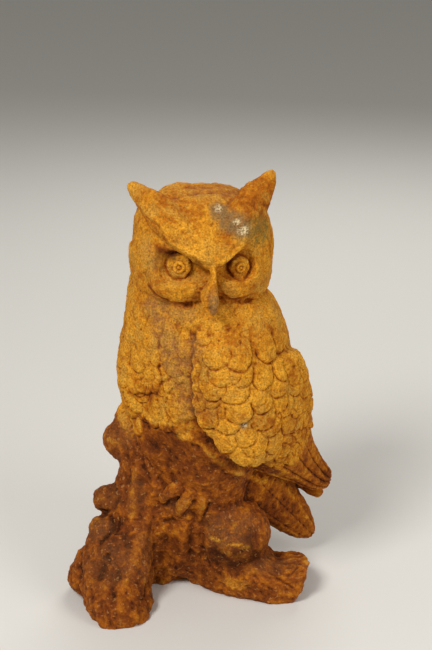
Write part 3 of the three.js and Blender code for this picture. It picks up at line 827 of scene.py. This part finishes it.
def feather_rows(form, shares, pitch, angles, half_width, rise):
    """Feathers laid in rows like tiles: root point, across, down, out, half width, length and rise of each.
    Rows lie one pitch apart down the skin, every second row is shifted by half a feather, and each feather
    is moved a little at random."""
    random = np.random.default_rng(int(pitch * 100 + half_width * 10))
    steps = np.linspace(*shares, 120)
    spine = form_skin(form, steps, np.full(120, np.mean(angles)))
    reach = np.concatenate([[0], np.cumsum(np.linalg.norm(np.diff(spine, axis=0), axis=1))])
    rows = max(2, round(reach[-1] / pitch) + 1)
    feathers = []
    for row, share in enumerate(np.interp(np.linspace(0, reach[-1], rows), reach, steps)):
        fine = np.linspace(*angles, 80)
        ring = form_skin(form, np.full(80, share), fine)
        run = np.concatenate([[0], np.cumsum(np.linalg.norm(np.diff(ring, axis=0), axis=1))])
        count = max(2, round(run[-1] / (1.72 * half_width)))
        wanted = (np.arange(count) + 0.25 + 0.5 * (row % 2)) / count
        wanted = np.clip(wanted + random.uniform(-0.13, 0.13, count) / count, 0, 1)
        degrees = np.interp(wanted * run[-1], run, fine)
        place = np.clip(share + random.uniform(-0.008, 0.008, count), 0.01, 0.99)
        root = form_skin(form, place, degrees)
        down = unit(form_skin(form, place + 0.02, degrees) - root)
        across = unit(form_skin(form, place, degrees - 3) - root)
        out = unit(np.cross(down, across))
        across = np.cross(out, down)
        size = half_width * random.uniform(0.9, 1.14, count)
        length = np.full(count, 2.1 * pitch) * random.uniform(0.95, 1.08, count)
        height = rise * random.uniform(0.7, 1.2, count)
        feathers += list(zip(root, across, down, out, size, length, height))
    return feathers


def feather_relief(points, normals, feathers):
    """The height of overlapping feathers. Each is a round-ended strip that rises from nothing at its root to
    its full rise at its tip and is slightly domed across, and the highest one shows. 0.9 mm outside the edge
    of the one that shows there is a groove, a third of its rise deep, with the section
    exp(-(d / 0.8)^2)."""
    uneven = warped(warped(points, 15.0, 1.3, 3), 5.0, 0.5, 4)
    order = np.argsort(points[:, 2])
    levels = points[order, 2]
    height = np.zeros(len(points))
    grooves = []
    for root, across, down, out, half, length, rise in feathers:
        reach = 1.25 * length
        first, last = np.searchsorted(levels, [root[2] - reach, root[2] + reach])
        near = order[first:last]
        near = near[(np.abs(points[near, :2] - root[:2]) < reach).all(1)]
        offset = uneven[near] - root
        u, v, w = (offset @ across) / half, offset @ down, offset @ out
        shown = (np.abs(w) < 9) & (normals[near] @ out > 0.2) & (v > 0)
        near, u, v = near[shown], u[shown], v[shown]
        beyond = np.maximum(v - (length - half), 0) / half
        inside = half * (1 - np.sqrt(u**2 + beyond**2))
        slope = np.clip(v / length, 0, 1)
        dome = 0.72 * smooth_step(-0.4, 1.3, inside) + 0.28 * smooth_step(0, half, inside)
        height[near] = np.maximum(height[near], rise * slope * dome * (inside > -0.4))
        grooves.append((near, inside, slope, rise))
    cut = np.zeros(len(points))
    for near, inside, slope, rise in grooves:
        line = hump(inside + 0.9, 0.8) * smooth_step(0.35, 0.6, slope)
        top = rise * slope > 0.85 * height[near]
        cut[near] = np.maximum(cut[near], line * top * rise / 2.6)
    return height - 0.85 * cut


def flight_relief(place, start, angles, depth):
    """Long feathers side by side: grooves exp(-(d / 1.1)^2) that run along a form at some angles, where d is
    the distance round it, with each feather tilted like a roof slate between them."""
    share, angle, ratio = place[:, 0], place[:, 1], place[:, 2]
    radius = np.hypot(place[:, 3], place[:, 4])
    lean = depth * smooth_step(start, start + 0.05, share) * smooth_step(1.25, 1.08, ratio)
    height = np.zeros(len(place))
    steps = np.append(angles, angles[-1] + 24)
    for left, right in zip(steps[:-1], steps[1:]):
        within = (angle >= left) & (angle < right)
        height += within * 1.5 * (right - angle) / (right - left)
        distance = radius * np.radians(np.abs(angle - left))
        height -= 1.4 * hump(distance, 1.1)
    return height * lean


def path_gap(points, normals, path, thick=8):
    """How each point lies to a smooth line on the skin: its distance across the skin from the nearest of
    the line's pieces, that distance with a sign (above 0 on the side of normal x line), and the share along
    the line. A point over LINE_REACH away, or further off the line's skin than thick, is at FAR_OFF."""
    line, _ = line_at(path, np.linspace(0, 1, 4 * len(path)))
    distance, signed = np.full((2, len(points)), FAR_OFF)
    along = np.zeros(len(points))
    low, high = line.min(0) - LINE_REACH, line.max(0) + LINE_REACH
    near = np.nonzero(((points > low) & (points < high)).all(1))[0]
    points, normals = points[near], normals[near]
    found = np.full(len(points), LINE_REACH)
    for i, (start, stop) in enumerate(zip(line[:-1], line[1:])):
        run = stop - start
        share = np.clip((points - start) @ run / (run @ run), 0, 1)
        gap = points - start - share[:, None] * run
        reach = np.linalg.norm(gap, axis=1)
        off = (gap * normals).sum(1)
        nearer = (reach < found) & (np.abs(off) < thick)
        found[nearer] = reach[nearer]
        flat = (gap - off[:, None] * normals)[nearer]
        sideways = unit(np.cross(normals[nearer], run))
        distance[near[nearer]] = np.linalg.norm(flat, axis=1)
        signed[near[nearer]] = (flat * sideways).sum(1)
        along[near[nearer]] = (i + share[nearer]) / (len(line) - 1)
    return distance, signed, along


def ledge_relief(points, normals, path, rise, drop, reach, scallops):
    """A step along a path. With d the signed distance across it, it is rise * exp(-d / 18) on the wing's
    side and -drop * exp(d / reach) on the other, joined over 1.6 mm, fading at both ends. The edge bulges
    out in scallops by 2 mm * |sin(pi * number * share along)|."""
    distance, signed, along = path_gap(points, normals, path)
    signed = signed + 2 * np.abs(np.sin(np.pi * scallops * along))
    step = smooth_step(-0.8, 0.8, signed)
    wing = rise * np.exp(-np.maximum(signed, 0) / 18)
    body = -drop * np.exp(-np.maximum(-signed, 0) / reach)
    fade = faded(along, 0.1) * smooth_step(32, 20, distance)
    return fade * (wing * step + body * (1 - step))


def crease_relief(points, normals, path, width, depth):
    """A groove along a path, or a ridge: -depth * exp(-(d / width)^2), fading at both ends."""
    distance, _, along = path_gap(points, normals, path)
    return -depth * faded(along, 0.08) * hump(distance, width)


def eye_rings(points):
    """The rings of the eyes: a height that depends only on the distance from each eye's axis."""
    height = np.zeros(len(points))
    local = turned(points - HEAD_CENTRE, -HEAD_TURN)
    for centre, turn, size in EYES:
        around = turned(local - np.array(centre), -turn)
        distance = np.hypot(around[:, 0], around[:, 2]) / size
        height += np.interp(distance, *zip(*EYE_RINGS)) * (np.abs(around[:, 1]) < 9)
    return height


def bark_relief(points, places):
    """Lengthwise ridges of the woody forms: 1.2 (1 - 2 |noise|) at 11 mm plus 0.8 (1 - 2 |noise|) at 5.5 mm.
    The noise reads the place across a form and 0.3 of the place along it, moved by up to 3 mm. Where forms
    meet, each counts by how near its skin is."""
    total = np.zeros(len(points))
    weight = np.full(len(points), 1e-3)
    for number, place in enumerate(places):
        local = warped(place[:, 3:6] * [1, 1, 0.3], 14.0, 3.0, 40 + number)
        ridges = 1 - 2 * np.abs(noise(local, 11.0, 50 + number))
        fine = 1 - 2 * np.abs(noise(local, 5.5, 60 + number))
        near = smooth_step(1.5, 1.0, place[:, 2])
        total += near * (1.2 * ridges + 0.8 * fine)
        weight += near
    return total / np.maximum(weight, 1)


def skin_zones(points, normals):
    """Shares from 0 to 1 of what each point belongs to: face, wing, tail and wood (the stump and roots)."""
    near = form_place(NEAR_WING, points)
    far = form_place(FAR_WING, points)
    tail = form_place(TAIL, points)
    local = turned(points - HEAD_CENTRE, -HEAD_TURN)
    face = smooth_step(-18, -30, local[:, 1]) * smooth_step(-46, -38, local[:, 2])
    wing = np.maximum(smooth_step(1.3, 1.08, near[:, 2]), smooth_step(1.3, 1.08, far[:, 2]))
    distance, signed, _ = path_gap(points, normals, LOWER_EDGE, 16)
    under = (distance < 30) * smooth_step(0.5, -1.5, signed)
    wing *= 1 - under
    tail_share = smooth_step(1.35, 1.1, tail[:, 2]) * (1 - wing)
    level = WOOD_TOP + 0.1 * points[:, 0]
    wood = smooth_step(level + 12, level - 18, points[:, 2])
    post = smooth_step(-56, -64, points[:, 0]) * smooth_step(178, 168, points[:, 2])
    wood = np.maximum(wood, post) * (1 - wing) * (1 - tail_share)
    places = {"near": near, "far": far, "tail_place": tail}
    return {"face": face, "wing": wing, "tail": tail_share, "wood": wood, "under": under, **places}


def sculpted(mesh, feather_rise, bark_depth, pit_depth):
    """Smooths the joined skin and moves each vertex along its normal by the sum of all reliefs."""
    points = carved(read(mesh, "points") / MM + MIDDLE, ARCHES)
    edges = read(mesh, "edges")
    zones = skin_zones(points, read(mesh, "normals"))
    local = turned(points - HEAD_CENTRE, -HEAD_TURN)
    brow = smooth_step(16, 30, local[:, 2] - 0.85 * np.abs(local[:, 0]))
    brow *= smooth_step(-20, -30, local[:, 1])
    level = 0.42 - 0.34 * zones["face"] + 0.4 * brow + 0.4 * zones["wood"] - 0.12 * zones["wing"]
    level -= 0.35 * patches(points, TOE_PLACE)
    level -= 0.5 * patches(points, GROWTHS_SEEN)
    points = smoothed(points, edges, np.clip(level, 0.06, 1), SMOOTHING_ROUNDS)
    write_points(mesh, points)
    normals = read(mesh, "normals")

    feathers = [feather for field in FEATHER_FIELDS for feather in feather_rows(*field)]
    head = smooth_step(290, 268, points[:, 2])
    height = feather_rise * feather_relief(points, normals, feathers)
    height *= (1 - zones["wood"]) * (1 - zones["tail"]) * (1 - zones["under"]) * head
    for place, (_, start, angles, depth) in zip(("near", "far", "tail_place"), FLIGHT_GROOVES):
        height += feather_rise * flight_relief(zones[place], start, angles, depth)
    for crease in CREASES:
        height += crease_relief(points, normals, *crease)
    for ledge in LEDGES:
        height += ledge_relief(points, normals, *ledge)
    for centre, radius, depth in DIMPLES:
        height -= depth * hump(np.linalg.norm(points - np.array(centre), axis=1), radius)
    height += eye_rings(points)

    woody = [form_place(form, points) for form in (STUMP, FRONT_ROOT, RIGHT_ROOT, BACK_ROOT)]
    balls = [(*BURL[0], *BURL[1], 0.8)] + [(*centre, *radii, 0.7) for centre, radii in GROWTHS]
    wood = zones["wood"] * (1 - patches(points, balls))
    lumps = rough(warped(points, 2 * LUMP, 6.0, 5), LUMP, 11)
    height += bark_depth * wood * (bark_relief(points, woody) + 1.2 * lumps)
    breast = patches(points, BREAST_PLACE)
    calm = 1 - 0.7 * patches(points, CALM_PLACE)
    height += calm * (0.55 + 0.35 * zones["wood"]) * rough(points, RIPPLE, 21, 2)
    height += calm * (0.36 + 0.2 * zones["wood"] + 0.5 * breast) * rough(points, CRUST, 25, 2)
    pits = smooth_step(0.25, 0.75, noise(points, PIT, 31)) * (0.8 - 0.55 * zones["wood"])
    grains = rough(points, GRAIN, 33, 1)
    height += -pit_depth * calm * pits + 0.22 * grains * (1 + zones["wood"])
    write_points(mesh, points + normals * height[:, None])
    return zones


def grounded(mesh):
    """The mesh cut off flat at the ground, with its underside closed."""
    work = bmesh.new()
    work.from_mesh(mesh)
    everything = work.verts[:] + work.edges[:] + work.faces[:]
    bmesh.ops.bisect_plane(work, geom=everything, plane_co=(0, 0, 0), plane_no=(0, 0, 1), clear_inner=True)
    rim = [edge for edge in work.edges if edge.is_boundary]
    made = bmesh.ops.holes_fill(work, edges=rim, sides=0)["faces"]
    bmesh.ops.triangulate(work, faces=made)
    work.to_mesh(mesh)
    work.free()
    mesh.update()


def weathered(mesh):
    """Writes what the rust's nodes read as attributes: the tone from ochre (0) to the darkest colour (1),
    which holds both the rust's own colours and painted shade and light, the relief, the patches and the
    wood. The relief is 0.5 + 0.2 times the height in mm over the widely smoothed skin + 0.45 times that over
    the closely smoothed one, so it is below 0.5 in a cavity and above it on a crest."""
    points = read(mesh, "points") / MM + MIDDLE
    edges, normals = read(mesh, "edges"), read(mesh, "normals")
    zones = skin_zones(points, normals)
    wide, close = (
        ((points - smoothed(points, edges, np.ones(len(points)), rounds)) * normals).sum(1)
        for rounds in (WIDE_ROUNDS, CLOSE_ROUNDS)
    )
    loose = warped(warped(points, 20.0, 6.0, 71), 7.0, 2.0, 75)
    height = loose[:, 2] - 0.25 * loose[:, 0]
    tone = 0.24 + 0.42 * smooth_step(192, 166, height) * (1 - zones["wing"])
    tip = np.where(zones["near"][:, 2] < 1.3, zones["near"][:, 0], zones["far"][:, 0])
    tone += zones["wing"] * (0.02 + 0.33 * smooth_step(0.45, 0.85, tip))
    tone = np.maximum(tone, 0.66 * zones["wood"])
    # Darker from 300 mm down, and painted shade towards the top of the head, which tones down the main
    # lamp's light there.
    tone += 0.04 * smooth_step(300, 240, loose[:, 2]) + 0.13 * smooth_step(320, 355, loose[:, 2])
    # Painted shade on the body just beyond each wing's edge, where the wing overhangs it.
    painted_shade_at_wing_edges = ((LOWER_EDGE, 16, 0.4, 5), (FRONT_EDGE, 8, 0.25, 4), (FAR_EDGE, 8, 0.2, 4))
    for path, thick, deep, width in painted_shade_at_wing_edges:
        distance, signed, _ = path_gap(points, normals, path, thick)
        tone += deep * hump(distance, width) * smooth_step(2, -1, signed)
    tone += 0.12 * rough(points, 26.0, 81) * (1 - 0.4 * zones["wood"])
    ragged = 1.6 * noise(points, 5.0, 91)
    for path, width, change in STREAKS:
        distance, _, along = path_gap(points, normals, path, 12)
        tone += change * faded(along, 0.15) * hump(distance + ragged, width)
    moves = loose - points
    values = {
        "tone": np.clip(tone, 0, 1),
        "relief": np.clip(0.5 + 0.2 * wide + 0.45 * close, 0, 1),
        **{name: patches(points, spots, moves) for name, spots in PATCHES.items()},
        "wood": zones["wood"],
    }
    for name, value in values.items():
        attribute = mesh.attributes.new(name, "FLOAT", "POINT")
        attribute.data.foreach_set("value", np.asarray(value, np.float32))


# ---- Materials ----


def add(tree, kind, settings=(), inputs=(), output=0):
    """Adds a node with its settings, sets its inputs or links them to other nodes' outputs, and returns one
    of its own outputs, or the node where it has none."""
    node = tree.nodes.new(kind)
    for name, value in dict(settings).items():
        setattr(node, name, value)
    for name, value in dict(inputs).items():
        if isinstance(value, bpy.types.NodeSocket):
            tree.links.new(value, node.inputs[name])
        else:
            node.inputs[name].default_value = value
    return node.outputs[output] if len(node.outputs) else node


def rusted_cast_iron(look):
    """Sand-cast grey iron, rusted outdoors. Powdery ochre rust lies over a red-brown crust, the grooves are
    darker with crust and painted shade, more painted shade lies under the wings and in the sockets, the
    breast is worn to mauve-brown, a few rubbed spots show grey metal with painted highlights, and the wood
    has painted glints."""
    material = bpy.data.materials.new("rusted_cast_iron")
    material.use_nodes = True
    tree = material.node_tree
    tree.nodes.clear()
    place = add(tree, "ShaderNodeTexCoord", output="Object")
    marks = {}
    for name in ("tone", "relief", "wood", *PATCHES):
        marks[name] = add(tree, "ShaderNodeAttribute", {"attribute_name": name}, output="Fac")
    for name, (size, detail, roughness) in PATTERNS.items():
        wanted = {"Vector": place, "Scale": 1 / (size * MM), "Detail": detail, "Roughness": roughness}
        marks[name] = add(tree, "ShaderNodeTexNoise", inputs=wanted)
    soft = {"interpolation_type": "SMOOTHSTEP"}
    steps = {}
    for name, (source, *limits) in STEPS.items():
        wanted = dict(enumerate([marks[source], *limits]))
        steps[name] = add(tree, "ShaderNodeMapRange", soft, wanted)
    times, plus, less = ({"operation": name} for name in ("MULTIPLY", "ADD", "SUBTRACT"))

    # The tone grows darker in hollows, with crust and painted shade, and lighter on crests, with powdery
    # rust and a painted highlight.
    tone = marks["tone"]
    for name in ("flaking", "staining", "gritting", "hollow", "crest"):
        share = steps[name]
        if name in ("flaking", "hollow"):
            share = add(tree, "ShaderNodeMath", times, {0: share, 1: steps["less_on_wood"]})
        tone = add(tree, "ShaderNodeMath", plus, {0: tone, 1: share})
    colour = add(tree, "ShaderNodeValToRGB", inputs={0: tone})
    ramp = colour.node.color_ramp
    # The ramp's darkest stop is crust and painted shade.
    stops = {0.0: linear(POWDER)[:3], 0.25: look.ochre, 0.5: look.orange, 0.72: look.red, 1.0: look.crust_and_painted_shade}
    while len(ramp.elements) < len(stops):
        ramp.elements.new(0.5)
    for element, (position, shade) in zip(ramp.elements, stops.items()):
        element.position = position
        element.color = (*shade, 1)

    # Each layer lies on the last where its mark and its step are both strong. Dust needs a light tone.
    over, multiply = {"data_type": "RGBA"}, {"data_type": "RGBA", "blend_type": "MULTIPLY"}
    marks["dust"] = add(tree, "ShaderNodeMapRange", soft, {0: tone, 1: 0.5, 2: 0.3})
    worn = {0: marks["wood"], 6: linear(WORN_MAUVE), 7: linear(DULL_BROWN)}
    layers = {
        "worn": add(tree, "ShaderNodeMix", over, worn, 2),
        "dust": linear(DUSTY_TAN),
        "bright": linear(POWDER),
        # Mostly painted shade, with some darker crust.
        "crust_and_painted_shade": (*look.crust_and_painted_shade, 1),
        "olive": linear(OLIVE),
        "bare": linear(BARE_GREY),
        # Painted highlight on the polished spots.
        "polish_and_painted_highlight": linear(PAINTED_HIGHLIGHT_ON_IRON),
    }
    for name, layer in layers.items():
        share = add(tree, "ShaderNodeMath", times, {0: marks[name], 1: steps[name]})
        colour = add(tree, "ShaderNodeMix", over, {0: share, 6: colour, 7: layer}, 2)
    colour = add(tree, "ShaderNodeMix", multiply, {0: 1.0, 6: colour, 7: steps["speck"]}, 2)
    colour = add(tree, "ShaderNodeMix", over, {0: steps["red_speck"], 6: colour, 7: (*look.red, 1)}, 2)
    glint = add(tree, "ShaderNodeMath", times, {0: steps["glint"], 1: steps["glint_on_wood"]})
    colour = add(tree, "ShaderNodeMix", over, {0: glint, 6: colour, 7: linear(GLINT)}, 2)

    smoother = add(tree, "ShaderNodeMath", times, {0: marks["polish_and_painted_highlight"], 1: 0.4})
    roughness = add(tree, "ShaderNodeMath", less, {0: steps["roughness"], 1: glint})
    roughness = add(tree, "ShaderNodeMath", less, {0: roughness, 1: smoother})
    metallic = add(tree, "ShaderNodeMath", times, {0: marks["polish_and_painted_highlight"], 1: 0.5})
    pits = {"Vector": place, "Scale": 1 / (RUST_PIT * MM)}
    pit = add(tree, "ShaderNodeTexVoronoi", {"feature": "SMOOTH_F1"}, pits, "Distance")
    fine = {"Height": marks["grit"], "Distance": 1.2 * MM, "Strength": 1.0}
    bump = add(tree, "ShaderNodeBump", inputs=fine)
    coarse = {"Height": pit, "Distance": 1.0 * MM, "Strength": 0.7, "Normal": bump}
    bump = add(tree, "ShaderNodeBump", inputs=coarse)
    wanted = {"Base Color": colour, "Roughness": roughness, "Normal": bump, "Metallic": metallic}
    shader = add(tree, "ShaderNodeBsdfPrincipled", inputs={**wanted, "Specular IOR Level": 0.1})
    add(tree, "ShaderNodeOutputMaterial", inputs={"Surface": shader})
    return material


def matt_floor(look):
    """Matt painted board, plain and pale."""
    material = bpy.data.materials.new("matt_floor")
    material.use_nodes = True
    shader = material.node_tree.nodes["Principled BSDF"]
    shader.inputs["Base Color"].default_value = (*look.floor, 1)
    shader.inputs["Roughness"].default_value = 0.9
    return material


# ---- The add-on's classes ----


def colour_property(name, description, value):
    """A colour that a user would change, with an sRGB hex value as its default."""
    return bpy.props.FloatVectorProperty(
        name=name, description=description, default=linear(value)[:3], subtype="COLOR", size=3, min=0, max=1
    )


class CastOwlLook(bpy.types.PropertyGroup):
    """Sizes and colours of the casting."""

    cell: bpy.props.FloatProperty(
        name="Cell", description="Size of the cells that join the forms", default=1.0 * MM, unit="LENGTH"
    )
    triangles: bpy.props.IntProperty(
        name="Triangles", description="The most triangles that the skin keeps", default=192000
    )
    feather_rise: bpy.props.FloatProperty(
        name="Feather rise", description="Height of the feathers, as a share of the cast one", default=1.0
    )
    bark_depth: bpy.props.FloatProperty(
        name="Bark depth", description="Depth of the bark, as a share of the cast one", default=1.0
    )
    pit_depth: bpy.props.FloatProperty(
        name="Pit depth", description="Depth of the largest rust pits, in millimetres", default=0.6
    )
    ochre: colour_property("Ochre", "Powdery rust of the upper parts", OCHRE)
    orange: colour_property("Orange", "Rust between the ochre and the red", ORANGE_RUST)
    red: colour_property("Red", "Red-brown crust of the lower parts", RED_RUST)
    # The darkest colour, which also paints shade in grooves and under overhangs.
    crust_and_painted_shade: colour_property("Dark", "Dark crust in grooves", DARK_RUST_AND_PAINTED_SHADE)


class OwlStageLook(bpy.types.PropertyGroup):
    """Floor, light and camera."""

    floor: colour_property("Floor", "Colour of the floor", FLOOR)
    lens: bpy.props.FloatProperty(name="Lens", description="Focal length", default=75.0, unit="CAMERA")
    key: bpy.props.FloatProperty(
        name="Key", description="Power of the main lamp", default=29.0, unit="POWER"
    )
    fill: bpy.props.FloatProperty(
        name="Fill", description="Power of each other lamp", default=11.0, unit="POWER"
    )


class OBJECT_OT_cast_owl(bpy.types.Operator):
    """Build the rusted casting over its solid"""

    bl_idname = "object.cast_owl"
    bl_label = "Build Cast Owl"

    def execute(self, context):
        look = context.scene.cast_owl
        vertices, triangles = joined(head_skins() + body_skins() + stump_skins())
        vertices[:, 2] = np.maximum(vertices[:, 2], DEEPEST)
        mesh = mesh_of("casting", (vertices - MIDDLE) * MM, triangles)
        cells = {"mode": "VOXEL", "voxel_size": look.cell, "adaptivity": 0}
        mesh = with_modifier(mesh, "REMESH", cells)
        zones = sculpted(mesh, look.feather_rise, look.bark_depth, look.pit_depth)
        # The skin is squares here, two triangles each. The face keeps all of them.
        ratio = look.triangles / (2 * len(mesh.polygons))
        settings = {"ratio": ratio, "vertex_group": "free", "use_collapse_triangulate": True}
        mesh = with_modifier(mesh, "DECIMATE", settings, np.nonzero(zones["face"] <= 0.5)[0])
        grounded(mesh)
        if len(mesh.polygons) > MOST_TRIANGLES:
            raise RuntimeError(f"the casting has {len(mesh.polygons)} triangles")
        mesh.shade_smooth()
        weathered(mesh)
        mesh.name = "rusted_owl_casting"
        mesh.materials.clear()
        mesh.materials.append(rusted_cast_iron(look))
        piece = bpy.data.objects.new("rusted_owl_casting", mesh)
        context.scene.collection.objects.link(piece)
        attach(piece, BODY_NAME)
        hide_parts(NODE)
        return {"FINISHED"}


class OBJECT_OT_owl_stage(bpy.types.Operator):
    """Build the floor, the soft lights and the camera"""

    bl_idname = "object.owl_stage"
    bl_label = "Build Stage"

    def execute(self, context):
        look = context.scene.owl_stage
        scene = context.scene
        square = np.array([[-1, -1, 0], [1, -1, 0], [1, 1, 0], [-1, 1, 0]])
        corners = square * FLOOR_REACH - [0, 0, FLOOR_DROP]
        mesh = mesh_of("floor", corners, np.array([[0, 1, 2], [0, 2, 3]]))
        mesh.materials.append(matt_floor(look))
        floor = bpy.data.objects.new("floor", mesh)
        scene.collection.objects.link(floor)
        floor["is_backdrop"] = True

        world = bpy.data.worlds.new("soft_room")
        world.use_nodes = True
        background = world.node_tree.nodes["Background"].inputs
        background["Color"].default_value = linear(ROOM_LIGHT)
        background["Strength"].default_value = ROOM_STRENGTH
        scene.world = world
        for (name, place, size), power in zip(LAMPS, (look.key, look.fill, look.fill)):
            light = bpy.data.lights.new(name, "AREA")
            light.energy, light.size, light.shape = power, size, "DISK"
            lamp = bpy.data.objects.new(name, light)
            lamp.location = place
            direction = Vector(LAMP_AIM) - Vector(place)
            lamp.rotation_euler = direction.to_track_quat("-Z", "Y").to_euler()
            scene.collection.objects.link(lamp)

        camera = bpy.data.cameras.new("photo_camera")
        camera.lens, camera.sensor_width = look.lens, SENSOR
        view = bpy.data.objects.new("photo_camera", camera)
        view.location = CAMERA_PLACE
        view.rotation_euler = (np.radians(CAMERA_TILT), 0, 0)
        scene.collection.objects.link(view)
        scene.camera = view
        scene.view_settings.view_transform = "Standard"
        return {"FINISHED"}


class VIEW3D_PT_cast_owl(bpy.types.Panel):
    """Lists the owl's builders and their sizes."""

    bl_label = "Cast Owl"
    bl_space_type = "VIEW_3D"
    bl_region_type = "UI"
    bl_category = "Cast Owl"

    def draw(self, context):
        scene = context.scene
        for group, operator in ((scene.cast_owl, "object.cast_owl"), (scene.owl_stage, "object.owl_stage")):
            box = self.layout.box()
            for name in group.__annotations__:
                box.prop(group, name)
            box.operator(operator)


CLASSES = (CastOwlLook, OwlStageLook, OBJECT_OT_cast_owl, OBJECT_OT_owl_stage, VIEW3D_PT_cast_owl)


def register():
    for made in CLASSES:
        bpy.utils.register_class(made)
    bpy.types.Scene.cast_owl = bpy.props.PointerProperty(type=CastOwlLook)
    bpy.types.Scene.owl_stage = bpy.props.PointerProperty(type=OwlStageLook)


def unregister():
    del bpy.types.Scene.owl_stage
    del bpy.types.Scene.cast_owl
    for made in reversed(CLASSES):
        bpy.utils.unregister_class(made)


def main():
    """Builds the stage and the casting."""
    register()
    bpy.ops.object.owl_stage()
    bpy.ops.object.cast_owl()
    boxes = {"cad": CAD_BOX, "visual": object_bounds()}
    boxes = {name: [list(corner) for corner in box] for name, box in boxes.items()}


if __name__ == "__main__":
    main()
